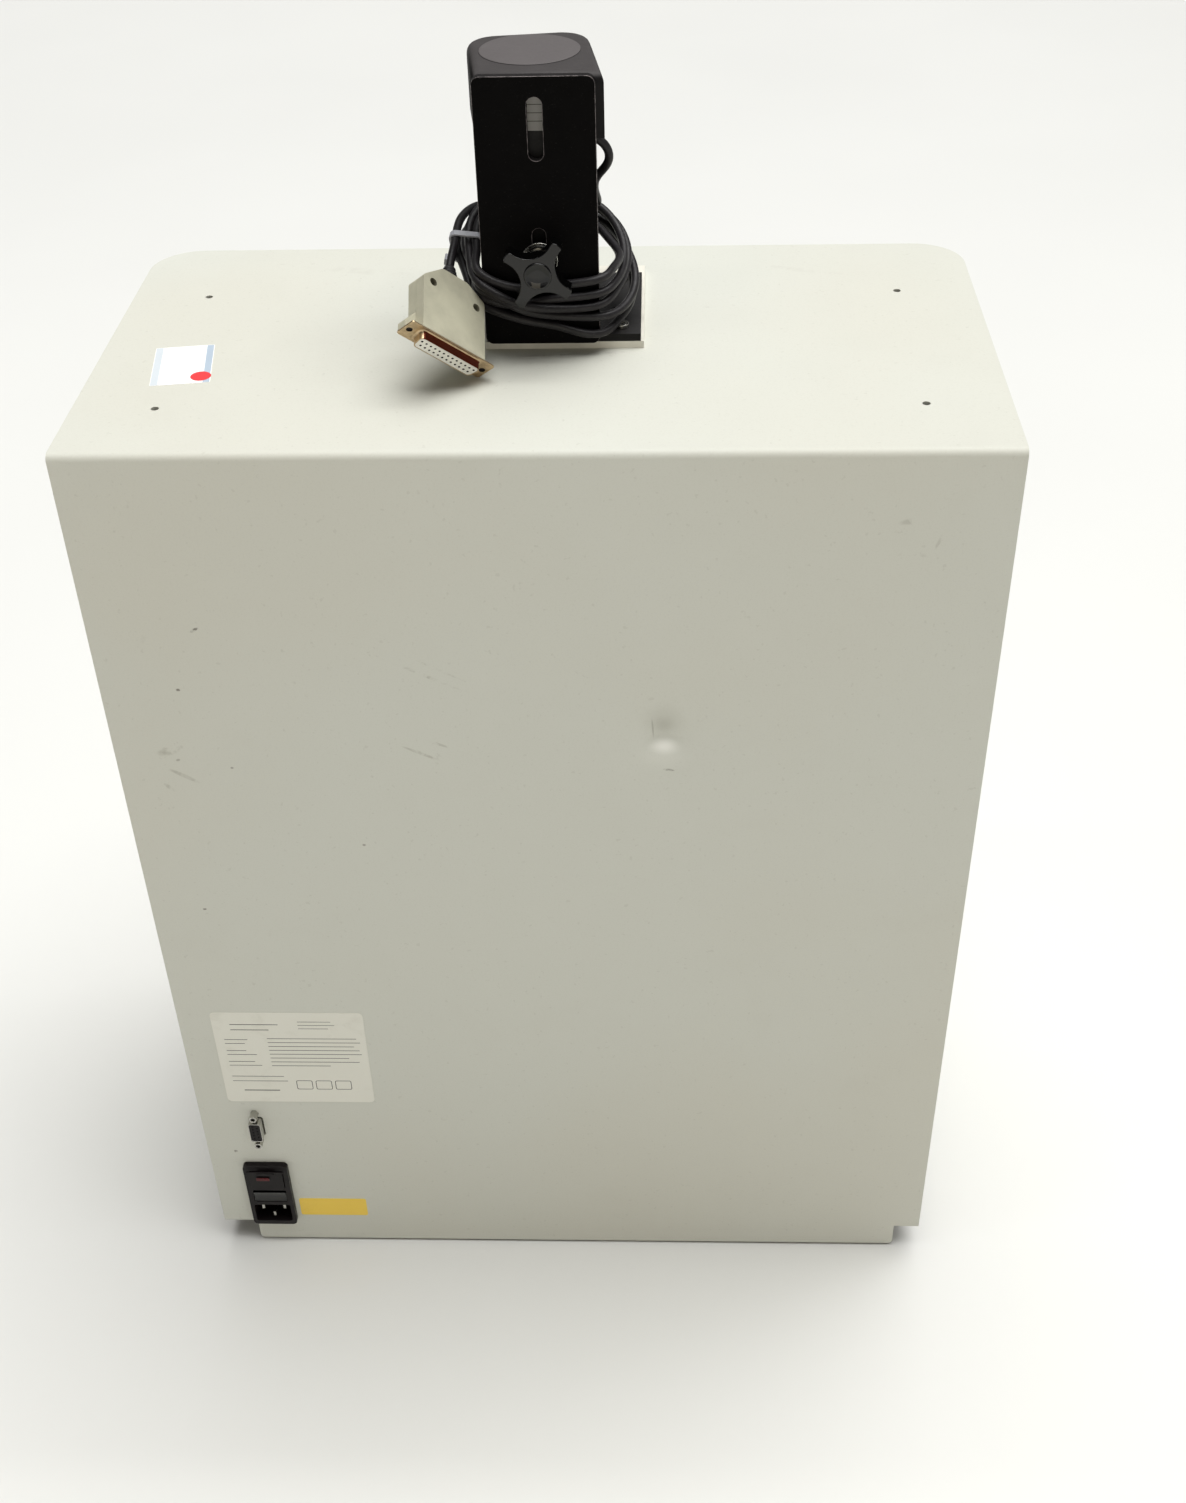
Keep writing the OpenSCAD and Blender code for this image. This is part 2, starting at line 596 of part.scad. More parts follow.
// ---------------------------------------------------------------- drawer
module drawer_front() {
  color(cream) difference() {
    plate_y(0, 138, drawer_w, 120, 4, yf + 1.5, yf + 15);
    plate_y(0, 138, drawer_w - 4, 116, 2, yf + 3.5, yf + 13);
    // finger grip along the lower edge
    blk(-60, 60, yf + 5, yf + 13, 70, 82);
  }
}
module drawer_tray() {
  color(steel) {
    difference() {
      blk(-168, 168, -126, yf + 1.5, 80.6, 116);
      blk(-166, 166, -124, yf - 0.5, 82, 120);
    }
    for (s = [-1, 1]) mirror([s < 0 ? 1 : 0, 0, 0]) blk(168, 179.2, -126, 100, 94, 106);
  }
}
module transilluminator_case() {
  color([0.3, 0.32, 0.36]) difference() {
    blk(-162, 162, -122, 96, 82, 182);
    blk(-160, 160, -120, 94, 84, 176);
    blk(-128, 128, -103, 77, 170, 180);
    blk(-135.2, 135.2, -110.2, 84.2, 178, 183);
  }
}
module uv_filter_glass() {
  color([0.2, 0.12, 0.35, 0.7]) blk(-135, 135, -110, 84, 178, 181.6);
}
module uv_reflector() {
  color([0.85, 0.86, 0.88]) {
    blk(-152, 152, -112, 86, 84, 86);
    for (s = [-1, 1]) mirror([s < 0 ? 1 : 0, 0, 0]) blk(144, 152, -104, 78, 86, 152);
  }
}
module uv_tubes() {
  color("white") for (i = [0 : tube_count - 1]) cyl_x(-88 + i * 30, 138, 7.75, -144, 144);
}

casing_wrap();
top_rear_panel();
base_pan();
rubber_feet();
drawer_shelf();
lamp_housings();
lamp_tubes();
power_supply();
lamp_ballasts();
control_panel();
switch_bezels();
door_magnet();
hinge_frame_leaves();
hinge_pins();
drawer_rails();
wheel_spindle();
inlet_housing();
inlet_pins();
serial_shell();
serial_insulator();
serial_jackscrews();
plain_labels();
stand_shim();
stand_base_plate();
stand_upright();
stand_screws();
lens_collar();
door_shell();
door_inner_pan();
door_gasket();
hinge_door_leaves();
door_handle();
window_glass();
drawer_front();
drawer_tray();
transilluminator_case();
uv_tubes();
uv_reflector();
uv_filter_glass();
power_rocker();
uv_rocker();
white_rocker();
filter_wheel();
wheel_filters();
fuse_drawer();
inlet_rocker();
camera_body();
camera_hood();
camera_label();
lens_barrel();
clamp_washer();
lead_exit();
cable_coil();
cable_tie();
lead_tail();
plug_backshell();
plug_shell();
plug_insulator();
clamp_knob();
focus_ring();
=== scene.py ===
import bpy, bmesh, json, math
import numpy as np
from mathutils import Vector, Matrix, Euler


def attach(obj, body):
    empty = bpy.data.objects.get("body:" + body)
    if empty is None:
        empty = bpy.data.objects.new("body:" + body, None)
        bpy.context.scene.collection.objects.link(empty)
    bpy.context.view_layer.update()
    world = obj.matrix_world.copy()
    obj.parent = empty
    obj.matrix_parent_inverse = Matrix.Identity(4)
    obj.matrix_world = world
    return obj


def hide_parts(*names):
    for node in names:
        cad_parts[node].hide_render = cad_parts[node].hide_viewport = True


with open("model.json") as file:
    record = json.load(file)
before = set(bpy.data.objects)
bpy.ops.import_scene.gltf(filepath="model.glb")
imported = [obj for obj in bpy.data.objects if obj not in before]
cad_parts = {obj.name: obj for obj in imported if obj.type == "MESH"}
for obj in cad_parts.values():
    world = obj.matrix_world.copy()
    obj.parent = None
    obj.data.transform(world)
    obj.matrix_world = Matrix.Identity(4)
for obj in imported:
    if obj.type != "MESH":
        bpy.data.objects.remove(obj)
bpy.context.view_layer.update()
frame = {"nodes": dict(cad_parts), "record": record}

scene = bpy.context.scene
NODES = frame["nodes"]
MM = 0.001
T = 587.0          # roof height, mm
YR = -140.0        # outer face of the rear panel, mm
YF = 106.0         # outer face of the casing front, mm


def lin(r, g, b):
    def f(c):
        c = c / 255.0
        return c / 12.92 if c <= 0.04045 else ((c + 0.055) / 1.055) ** 2.4
    return (f(r), f(g), f(b), 1.0)


# ------------------------------------------------------------------ camera
cam_data = bpy.data.cameras.new("camera")
cam = bpy.data.objects.new("camera", cam_data)
scene.collection.objects.link(cam)
X = Vector((0.99933851, 0.0288028, -0.02220213))
U = Vector((-0.0000766, 0.61217403, 0.79072306))
W = Vector((-0.0363666, 0.79019831, -0.61177129))
m = Matrix((
    (X.x, U.x, -W.x, 0.0580),
    (X.y, U.y, -W.y, -0.8718),
    (X.z, U.z, -W.z, 0.9789),
    (0, 0, 0, 1)))
cam.matrix_world = m
cam_data.sensor_width = 36.0
cam_data.sensor_fit = "AUTO"
cam_data.lens = 1772.8 / 1503.0 * 36.0
cam_data.clip_start = 0.02
cam_data.clip_end = 60.0
scene.camera = cam


# ------------------------------------------------------------------ node helpers
class Mat:
    """A small builder round one procedural material."""

    def __init__(self, name):
        self.m = bpy.data.materials.new(name)
        self.m.use_nodes = True
        self.nt = self.m.node_tree
        self.nt.nodes.clear()
        self.out = self.node("ShaderNodeOutputMaterial")
        self.b = self.node("ShaderNodeBsdfPrincipled")
        self.link(self.b.outputs[0], self.out.inputs["Surface"])
        self.obj = self.node("ShaderNodeTexCoord").outputs["Object"]

    def node(self, kind):
        return self.nt.nodes.new(kind)

    def link(self, a, b):
        self.nt.links.new(a, b)

    def put(self, sock, v):
        if hasattr(v, "is_output"):
            self.link(v, sock)
        else:
            sock.default_value = v

    def mapping(self, scale=(1, 1, 1), loc=(0, 0, 0), rot=(0, 0, 0), vec=None):
        n = self.node("ShaderNodeMapping")
        self.link(vec or self.obj, n.inputs["Vector"])
        n.inputs["Scale"].default_value = scale
        n.inputs["Location"].default_value = loc
        n.inputs["Rotation"].default_value = rot
        return n.outputs[0]

    def noise(self, scale, detail=2.0, rough=0.5, dist=0.0, vec=None):
        n = self.node("ShaderNodeTexNoise")
        self.link(vec or self.obj, n.inputs["Vector"])
        n.inputs["Scale"].default_value = scale
        n.inputs["Detail"].default_value = detail
        n.inputs["Roughness"].default_value = rough
        n.inputs["Distortion"].default_value = dist
        return n.outputs["Fac"]

    def voronoi(self, scale, vec=None, rand=1.0, feature="F1"):
        n = self.node("ShaderNodeTexVoronoi")
        n.feature = feature
        self.link(vec or self.obj, n.inputs["Vector"])
        n.inputs["Scale"].default_value = scale
        n.inputs["Randomness"].default_value = rand
        return n.outputs["Distance"]

    def ramp(self, fac, stops):
        n = self.node("ShaderNodeValToRGB")
        e = n.color_ramp.elements
        while len(e) < len(stops):
            e.new(0.5)
        for el, (p, c) in zip(e, stops):
            el.position = p
            el.color = c if hasattr(c, "__len__") else (c, c, c, 1.0)
        self.link(fac, n.inputs[0])
        return n.outputs[0]

    def math(self, op, a, b=0.0, c=None, clamp=False):
        n = self.node("ShaderNodeMath")
        n.operation = op
        n.use_clamp = clamp
        self.put(n.inputs[0], a)
        self.put(n.inputs[1], b)
        if c is not None:
            self.put(n.inputs[2], c)
        return n.outputs[0]

    def smooth(self, v, lo, hi):
        n = self.node("ShaderNodeMapRange")
        n.interpolation_type = "SMOOTHSTEP"
        self.link(v, n.inputs["Value"])
        n.inputs["From Min"].default_value = lo
        n.inputs["From Max"].default_value = hi
        return n.outputs[0]

    def span(self, v, lo, hi, a, b):
        n = self.node("ShaderNodeMapRange")
        self.link(v, n.inputs["Value"])
        n.inputs["From Min"].default_value = lo
        n.inputs["From Max"].default_value = hi
        n.inputs["To Min"].default_value = a
        n.inputs["To Max"].default_value = b
        return n.outputs[0]

    def mix(self, fac, a, b):
        n = self.node("ShaderNodeMix")
        n.data_type = "RGBA"
        self.put(n.inputs[0], fac)
        self.put(n.inputs[6], a)
        self.put(n.inputs[7], b)
        return n.outputs[2]

    def dist(self, p, scale=(1, 1, 1)):
        """distance in metres from the point p, stretched by scale"""
        s = self.node("ShaderNodeVectorMath")
        s.operation = "SUBTRACT"
        self.link(self.obj, s.inputs[0])
        s.inputs[1].default_value = p
        k = self.node("ShaderNodeVectorMath")
        k.operation = "MULTIPLY"
        self.link(s.outputs[0], k.inputs[0])
        k.inputs[1].default_value = scale
        n = self.node("ShaderNodeVectorMath")
        n.operation = "LENGTH"
        self.link(k.outputs[0], n.inputs[0])
        return n.outputs["Value"]

    def xyz(self):
        n = self.node("ShaderNodeSeparateXYZ")
        self.link(self.obj, n.inputs[0])
        return n.outputs

    def normal(self):
        n = self.node("ShaderNodeNewGeometry")
        s = self.node("ShaderNodeSeparateXYZ")
        self.link(n.outputs["Normal"], s.inputs[0])
        return s.outputs

    def bump(self, height, distance, strength=1.0, normal=None):
        n = self.node("ShaderNodeBump")
        n.inputs["Distance"].default_value = distance
        n.inputs["Strength"].default_value = strength
        self.link(height, n.inputs["Height"])
        if normal is not None:
            self.link(normal, n.inputs["Normal"])
        return n.outputs[0]

    def set(self, **kw):
        names = {"color": "Base Color", "rough": "Roughness", "metal": "Metallic", "spec": "Specular IOR Level",
                 "ior": "IOR", "trans": "Transmission Weight", "coat": "Coat Weight", "coat_rough": "Coat Roughness",
                 "alpha": "Alpha", "normal": "Normal", "sheen": "Sheen Weight", "emit": "Emission Color",
                 "emit_s": "Emission Strength", "aniso": "Anisotropic", "sss": "Subsurface Weight"}
        for k, v in kw.items():
            self.put(self.b.inputs[names[k]], v)
        return self.m


# ------------------------------------------------------------------ materials
def casing_paint(name, marks=True):
    """powder-coated sheet, warm grey-white, with a fine stipple, faint grime, specks and scuffs, and painted shade and
    highlight round the knock in the rear panel
    """
    a = Mat(name)
    main = lin(207, 208, 199)
    warm = lin(206, 205, 194)
    broad = a.noise(3.6, 2, 0.5)
    c = a.mix(a.smooth(broad, 0.38, 0.70), main, warm)
    haze = a.noise(19.0, 5, 0.62, 0.4)
    c = a.mix(a.math("MULTIPLY", a.smooth(haze, 0.55, 0.85), 0.10), c, lin(190, 187, 174))
    # fine dust in the texture of the coating
    grain = a.noise(950.0, 2, 0.6)
    c = a.mix(a.math("MULTIPLY", a.smooth(grain, 0.50, 0.75), 0.13), c, lin(176, 173, 160))
    pep = a.smooth(a.noise(360.0, 1, 0.5), 0.70, 0.78)
    c = a.mix(a.math("MULTIPLY", pep, 0.14), c, lin(150, 146, 132))
    if marks:
        # small dark chips, sparse
        cell = a.voronoi(7.0, rand=1.0)
        chip = a.math("SUBTRACT", 1.0, a.smooth(cell, 0.004, 0.009))
        thin = a.math("GREATER_THAN", a.noise(3.3, 0, 0.5), 0.50)
        c = a.mix(a.math("MULTIPLY", a.math("MULTIPLY", chip, thin), 0.6), c, lin(92, 86, 74))
        ragged = a.smooth(a.noise(420.0, 3, 0.6), 0.30, 0.56)
        wisp = a.smooth(a.noise(70.0, 4, 0.65, 0.9), 0.42, 0.62)
        # position, half length, half width, lean, strength, tone, which break-up
        for p, la, lb, ang, k, tone, brk in (
                ((-0.1736, -0.140, 0.4891), 0.0030, 0.0011, 0.55, 0.85, (84, 78, 66), ragged),
                ((-0.1878, -0.140, 0.4522), 0.0014, 0.0011, 0.0, 0.80, (92, 86, 74), ragged),
                ((-0.1954, -0.140, 0.4066), 0.0016, 0.0010, 0.4, 0.45, (120, 114, 100), ragged),
                ((-0.2110, -0.140, 0.0897), 0.0014, 0.0018, 0.0, 0.75, (90, 84, 72), ragged),
                ((-0.1979, -0.140, 0.2996), 0.0015, 0.0010, 0.2, 0.80, (92, 86, 74), ragged),
                ((-0.1674, -0.140, 0.4013), 0.0012, 0.0009, 0.0, 0.60, (104, 98, 86), ragged),
                ((-0.1025, -0.140, 0.3476), 0.0013, 0.0010, 0.0, 0.60, (104, 98, 86), ragged),
                # painted shade: darker patches on the upper wall of the knock in the rear panel
                ((0.0612, -0.138, 0.4310), 0.0150, 0.0150, 0.0, 0.26, (150, 148, 136), 0.9),
                ((0.0612, -0.138, 0.4270), 0.0080, 0.0090, 0.0, 0.28, (140, 138, 126), 0.9),
                # painted highlight: lighter patches on the lower wall of the knock
                ((0.0616, -0.138, 0.4138), 0.0100, 0.0060, 0.0, 0.9, (246, 246, 240), 0.9),
                ((0.0616, -0.138, 0.4080), 0.0180, 0.0110, 0.0, 0.25, (232, 232, 224), 0.9),
                # painted shade: a dark line along the crease beside the knock
                ((0.0555, -0.138, 0.4255), 0.0006, 0.0085, 0.06, 0.45, (112, 108, 96), 0.8),
                ((0.0640, -0.140, 0.3994), 0.0036, 0.0009, -0.12, 0.70, (104, 100, 88), ragged),
                ((-0.0600, -0.140, 0.4610), 0.0230, 0.0013, -0.47, 0.50, (150, 147, 134), wisp),
                ((-0.0520, -0.140, 0.4640), 0.0150, 0.0009, -0.50, 0.40, (150, 147, 134), wisp),
                ((-0.0660, -0.140, 0.4110), 0.0130, 0.0012, -0.45, 0.46, (150, 147, 134), wisp),
                ((-0.0560, -0.140, 0.4170), 0.0080, 0.0010, -0.40, 0.36, (150, 147, 134), wisp),
                ((-0.1990, -0.140, 0.4130), 0.0085, 0.0035, 0.35, 0.42, (136, 132, 116), wisp),
                ((-0.1940, -0.140, 0.3960), 0.0110, 0.0016, -0.55, 0.40, (142, 138, 124), wisp),
                ((-0.2010, -0.140, 0.4830), 0.0070, 0.0020, 0.9, 0.22, (150, 146, 132), wisp),
                ((-0.2030, -0.140, 0.3880), 0.0045, 0.0016, -0.8, 0.40, (142, 138, 124), wisp),
                ((0.1790, -0.140, 0.5500), 0.0085, 0.0022, 0.2, 0.30, (140, 136, 124), wisp),
                ((0.1860, -0.140, 0.5284), 0.0050, 0.0030, -0.9, 0.45, (140, 136, 124), wisp),
                ((0.1920, -0.140, 0.5390), 0.0060, 0.0012, 1.2, 0.38, (140, 136, 124), wisp),
                ((0.1390, 0.0690, 0.587), 0.030, 0.004, 0.3, 0.16, (176, 172, 162), wisp),
                ((-0.1080, 0.0740, 0.587), 0.040, 0.005, 0.2, 0.15, (176, 172, 162), wisp),
                ((0.0110, -0.0356, 0.587), 0.036, 0.0011, -0.087, 0.55, (160, 158, 148), wisp),
                ((0.0050, -0.0392, 0.587), 0.020, 0.0010, -0.05, 0.45, (170, 168, 158), wisp),
                ((0.0330, -0.0345, 0.587), 0.018, 0.0016, -0.12, 0.45, (170, 168, 158), wisp),
                ((0.2285, 0.010, 0.360), 0.020, 0.006, 0.5, 0.30, (150, 146, 132), wisp),
                ((-0.2285, -0.030, 0.250), 0.026, 0.004, -0.4, 0.30, (150, 146, 132), wisp),
                ((0.0900, 0.1210, 0.280), 0.018, 0.003, 0.6, 0.25, (150, 146, 132), wisp)):
            s = a.node("ShaderNodeVectorMath")
            s.operation = "SUBTRACT"
            a.link(a.obj, s.inputs[0])
            s.inputs[1].default_value = p
            flat = abs(p[2] - 0.587) < 1e-4
            side = abs(abs(p[0]) - 0.2285) < 1e-4
            ax = (0, 0, ang) if flat else ((ang, 0, 0) if side else (0, ang, 0))
            rot = a.mapping(rot=ax, vec=s.outputs[0])
            k2 = a.node("ShaderNodeVectorMath")
            k2.operation = "MULTIPLY"
            a.link(rot, k2.inputs[0])
            k2.inputs[1].default_value = (1 / la, 1 / lb, 100) if flat else ((100, 1 / la, 1 / lb) if side else (1 / la, 100, 1 / lb))
            ln = a.node("ShaderNodeVectorMath")
            ln.operation = "LENGTH"
            a.link(k2.outputs[0], ln.inputs[0])
            d = a.math("SUBTRACT", 1.0, a.smooth(ln.outputs["Value"], 0.05 if brk == 0.9 else 0.45, 1.0))
            c = a.mix(a.math("MULTIPLY", a.math("MULTIPLY", d, brk), k), c, lin(*tone))
    rough = a.span(a.noise(40.0, 4, 0.6), 0.3, 0.7, 0.50, 0.62)
    # textured coating: fine stipple, then the slow waviness of thin sheet
    n = a.bump(a.noise(4.2, 1, 0.4), 0.0010, 0.5)
    n = a.bump(a.noise(620.0, 3, 0.62), 0.00012, 0.34, n)
    return a.set(color=c, rough=rough, spec=0.34, normal=n)


def black_coat(name, base=(14, 13, 14), top=None, rough=0.46, spec=0.30, grain=900.0, bump=0.00006, dust_and_sheen=0.35, mottle=0.2):
    """satin black coating with a fine grain, rubbed and dusty on faces that look up, which also carry a painted sheen
    of the overhead light
    """
    a = Mat(name)
    c = lin(*base)
    dust_sheen_col = lin(*(top or tuple(min(255, v + 16) for v in base)))
    broad = a.smooth(a.noise(60.0, 4, 0.6, 0.3), 0.40, 0.75)
    # painted sheen: faces that look up blend to the lighter top colour, partly dust and partly overhead light painted
    # in
    up = a.smooth(a.normal()[2], 0.45, 0.95)
    fac = a.math("MULTIPLY", a.math("MULTIPLY", a.math("ADD", 1.0 - mottle, a.math("MULTIPLY", broad, mottle)), up), dust_and_sheen, clamp=True)
    col = a.mix(fac, c, dust_sheen_col)
    speck = a.smooth(a.noise(1500.0, 1, 0.5), 0.70, 0.80)
    col = a.mix(a.math("MULTIPLY", speck, 0.10), col, lin(110, 106, 104))
    r = a.span(a.noise(130.0, 4, 0.65), 0.3, 0.7, rough - 0.05, rough + 0.09)
    n = a.bump(a.noise(grain, 3, 0.6), bump, 0.5)
    return a.set(color=col, rough=r, spec=spec, normal=n)


def worn_edge(name, col=(128, 120, 120)):
    a = Mat(name)
    n1 = a.smooth(a.noise(240.0, 4, 0.65, 0.5), 0.34, 0.60)
    # lighter bevel faces: partly worn bare edge, partly a painted highlight where the edge would catch the light
    c = a.mix(n1, lin(52, 48, 49), lin(*col))
    return a.set(color=c, rough=a.span(a.noise(300.0, 3), 0.3, 0.7, 0.30, 0.48), metal=0.35, spec=0.5,
                 normal=a.bump(a.noise(800.0, 2), 0.00004, 0.4))


def zinc(name, base=(176, 178, 180), rough=0.34, streak=(30, 900, 900), metal=1.0, bump=0.00003):
    a = Mat(name)
    s = a.noise(1.0, 4, 0.65, 0.2, vec=a.mapping(scale=streak))
    blot = a.voronoi(120.0)
    c = a.mix(a.smooth(s, 0.3, 0.7), lin(*base), lin(*[int(v * 0.82) for v in base]))
    c = a.mix(a.math("MULTIPLY", a.smooth(blot, 0.2, 0.6), 0.22), c, lin(*[min(255, int(v * 1.12)) for v in base]))
    return a.set(color=c, metal=metal, rough=a.span(s, 0.3, 0.7, rough - 0.08, rough + 0.12),
                 normal=a.bump(s, bump, 0.35))


def plastic(name, base, rough=0.42, spec=0.45, grain=700.0, bump=0.00003, vary=0.10, coat=0.0, sss=0.0):
    a = Mat(name)
    v = a.noise(45.0, 4, 0.6)
    dark = tuple(int(x * (1 - vary * 2)) for x in base)
    c = a.mix(a.smooth(v, 0.35, 0.75), lin(*base), lin(*dark))
    fine = a.noise(grain, 2, 0.6)
    c = a.mix(a.math("MULTIPLY", a.smooth(fine, 0.55, 0.8), vary), c, lin(*[min(255, int(x * 1.15) + 4) for x in base]))
    return a.set(color=c, rough=a.span(a.noise(90.0, 4, 0.6), 0.3, 0.7, rough - 0.06, rough + 0.08), spec=spec,
                 coat=coat, sss=sss, normal=a.bump(fine, bump, 0.5))


def rubber(name, base=(30, 29, 31), rough=0.55, spec=0.35):
    a = Mat(name)
    f = a.noise(420.0, 3, 0.6)
    c = a.mix(a.smooth(a.noise(70.0, 4, 0.6), 0.35, 0.7), lin(*base), lin(*[v + 14 for v in base]))
    c = a.mix(a.math("MULTIPLY", a.smooth(a.noise(1300.0, 1), 0.62, 0.8), 0.25), c, lin(96, 92, 92))
    return a.set(color=c, rough=a.span(f, 0.3, 0.7, rough - 0.07, rough + 0.10), spec=spec, normal=a.bump(f, 0.00005, 0.5))


def tinted_glass(name, col, rough=0.05, alpha=1.0, trans=0.85):
    a = Mat(name)
    smear = a.smooth(a.noise(35.0, 5, 0.6, 0.8), 0.5, 0.8)
    c = a.mix(a.math("MULTIPLY", smear, 0.12), lin(*col), lin(*[min(255, int(v * 1.2) + 10) for v in col]))
    return a.set(color=c, rough=a.span(smear, 0, 1, rough, rough + 0.10), trans=trans, spec=0.5,
                 normal=a.bump(a.noise(14.0, 2), 0.0002, 0.08))


M = {}
M["casing_paint"] = casing_paint("casing_paint_v")
# the lighter top colours below are partly dust and partly painted sheen on faces that look up
M["black_metal"] = black_coat("black_metal_v", (13, 12, 12), (44, 43, 43), 0.47, 0.16, dust_and_sheen=1.0)
M["upright_black"] = black_coat("upright_black_v", (9, 8, 8), (46, 44, 44), 0.55, 0.035, dust_and_sheen=0.8)
M["lining_black"] = black_coat("lining_black_v", (17, 17, 18), (34, 34, 35), 0.72, 0.2, dust_and_sheen=0.5)
M["hood_grey"] = black_coat("hood_grey_v", (19, 17, 17), (70, 67, 67), 0.50, 0.16, grain=700.0, bump=0.00005, dust_and_sheen=1.0, mottle=0.12)
M["hood_disc"] = black_coat("hood_disc_v", (40, 38, 38), (94, 90, 90), 0.55, 0.2, grain=500.0, bump=0.00005, dust_and_sheen=1.0, mottle=0.06)
M["worn_edge"] = worn_edge("worn_edge_v")
M["zinc_steel"] = zinc("zinc_steel_v")
M["panel_grey"] = black_coat("panel_grey_v", (52, 54, 58), (70, 72, 76), 0.5, 0.35, dust_and_sheen=0.2)
M["rubber_black"] = rubber("rubber_black_v")
M["lead_rubber"] = rubber("lead_rubber_v", (25, 23, 25), 0.42, 0.26)
M["plastic_black"] = plastic("plastic_black_v", (22, 17, 18), 0.36, 0.2)
M["lens_red"] = plastic("lens_red_v", (104, 22, 28), 0.3, 0.3, vary=0.2)
M["plastic_gloss"] = plastic("plastic_gloss_v", (5, 5, 5), 0.06, 0.42, bump=0.000004)
M["plastic_red"] = plastic("plastic_red_v", (150, 28, 24), 0.22, 0.5, coat=0.2)
M["plastic_beige"] = plastic("plastic_beige_v", (188, 185, 164), 0.50, 0.35, grain=420.0, bump=0.00005, vary=0.05)
M["plastic_white"] = plastic("plastic_white_v", (232, 230, 222), 0.45, 0.4, vary=0.04)
M["shim_white"] = plastic("shim_white_v", (226, 223, 211), 0.6, 0.25, grain=260.0, vary=0.05)
M["tie_clear"] = plastic("tie_clear_v", (168, 169, 176), 0.35, 0.4, vary=0.04, sss=0.0)
# darker beige as painted shade in recesses, the seam and the screw slots
M["beige_dark"] = plastic("beige_dark_v", (112, 109, 92), 0.6, 0.3, grain=420.0, bump=0.00005, vary=0.06)
# painted shade for the inside of holes
M["dark_hole"] = plastic("dark_hole_v", (26, 18, 16), 0.6, 0.3, vary=0.1)
# painted dark reflection for the shell's side that looks up
M["brass_shade"] = zinc("brass_shade_v", (96, 38, 22), 0.38, streak=(300, 300, 300), metal=0.85)
M["brass"] = zinc("brass_v", (208, 184, 148), 0.36, streak=(300, 300, 300), metal=0.9)
M["nickel"] = zinc("nickel_v", (196, 194, 188), 0.20, streak=(200, 200, 900))
M["aluminium"] = zinc("aluminium_v", (196, 198, 200), 0.30, streak=(30, 500, 500))
M["amber_glass"] = tinted_glass("amber_glass_v", (214, 112, 20), 0.06)
M["uv_glass"] = tinted_glass("uv_glass_v", (60, 44, 96), 0.05, trans=0.55)
M["tube_glass"] = plastic("tube_glass_v", (232, 234, 240), 0.18, 0.5, vary=0.02)
M["filter_glass"] = tinted_glass("filter_glass_v", (196, 90, 40), 0.04)
M["transil_blue"] = black_coat("transil_blue_v", (84, 92, 108), (104, 112, 126), 0.45, 0.4, grain=420.0, bump=0.0002, dust_and_sheen=0.3)


def label_mat(name, base, dirt=(180, 176, 160), rough=0.42):
    a = Mat(name)
    d = a.smooth(a.noise(55.0, 4, 0.65, 0.6), 0.52, 0.80)
    c = a.mix(a.math("MULTIPLY", d, 0.25), lin(*base), lin(*dirt))
    fib = a.noise(900.0, 2, 0.6)
    c = a.mix(a.math("MULTIPLY", a.smooth(fib, 0.55, 0.8), 0.06), c, lin(*dirt))
    return a.set(color=c, rough=a.span(a.noise(60.0, 3), 0.3, 0.7, rough - 0.06, rough + 0.08), spec=0.4,
                 normal=a.bump(a.noise(160.0, 2), 0.00006, 0.3))


M["label_light"] = label_mat("label_light_v", (226, 225, 215))
M["label_ink"] = label_mat("label_ink_v", (58, 56, 52), (44, 42, 40))
M["label_yellow"] = label_mat("label_yellow_v", (246, 210, 84), (222, 186, 68), 0.38)
M["sticker_white"] = label_mat("sticker_white_v", (248, 248, 246), (225, 224, 215), 0.5)
M["sticker_blue"] = label_mat("sticker_blue_v", (176, 190, 204), (160, 172, 186), 0.5)
M["sticker_grey"] = label_mat("sticker_grey_v", (206, 213, 218), (190, 198, 204), 0.5)
M["dot_red"] = label_mat("dot_red_v", (226, 62, 66), (196, 48, 54), 0.45)
M["cam_label"] = label_mat("cam_label_v", (134, 132, 129), (104, 102, 99), 0.5)
M["ink_dark"] = label_mat("ink_dark_v", (48, 46, 46), (38, 36, 36), 0.5)
M["mark_white"] = label_mat("mark_white_v", (150, 148, 146), (110, 108, 106), 0.5)

RECORD_SLOT = {}
for s in frame["record"].get("subparts", []):
    RECORD_SLOT[s["node"]] = s.get("material_slot")
BODY = {}
for b, ns in frame["record"]["behaviour"]["bodies"].items():
    for n in ns:
        BODY[n] = b


# ------------------------------------------------------------------ mesh helpers
def new_object(name, verts, faces, mats, smooth=True):
    me = bpy.data.meshes.new(name)
    me.from_pydata([tuple(v) for v in verts], [], [list(f) for f in faces])
    me.update()
    o = bpy.data.objects.new(name, me)
    scene.collection.objects.link(o)
    for mt in (mats if isinstance(mats, (list, tuple)) else [mats]):
        me.materials.append(mt)
    if smooth:
        me.polygons.foreach_set("use_smooth", [True] * len(me.polygons))
    return o


def from_bm(name, bm, mats, smooth=True):
    bmesh.ops.recalc_face_normals(bm, faces=bm.faces)
    me = bpy.data.meshes.new(name)
    bm.to_mesh(me)
    bm.free()
    o = bpy.data.objects.new(name, me)
    scene.collection.objects.link(o)
    for mt in (mats if isinstance(mats, (list, tuple)) else [mats]):
        me.materials.append(mt)
    if smooth:
        me.polygons.foreach_set("use_smooth", [True] * len(me.polygons))
    return o


def bevel(o, width, segs=2, angle=32.0, material=-1, profile=0.5):
    b = o.modifiers.new("edge", "BEVEL")
    b.width = width
    b.segments = segs
    b.limit_method = "ANGLE"
    b.angle_limit = math.radians(angle)
    b.use_clamp_overlap = True
    b.material = material
    b.profile = profile
    b.miter_outer = "MITER_ARC"
    w = o.modifiers.new("shade", "WEIGHTED_NORMAL")
    w.mode = "FACE_AREA"
    w.weight = 50
    w.keep_sharp = False
    return o


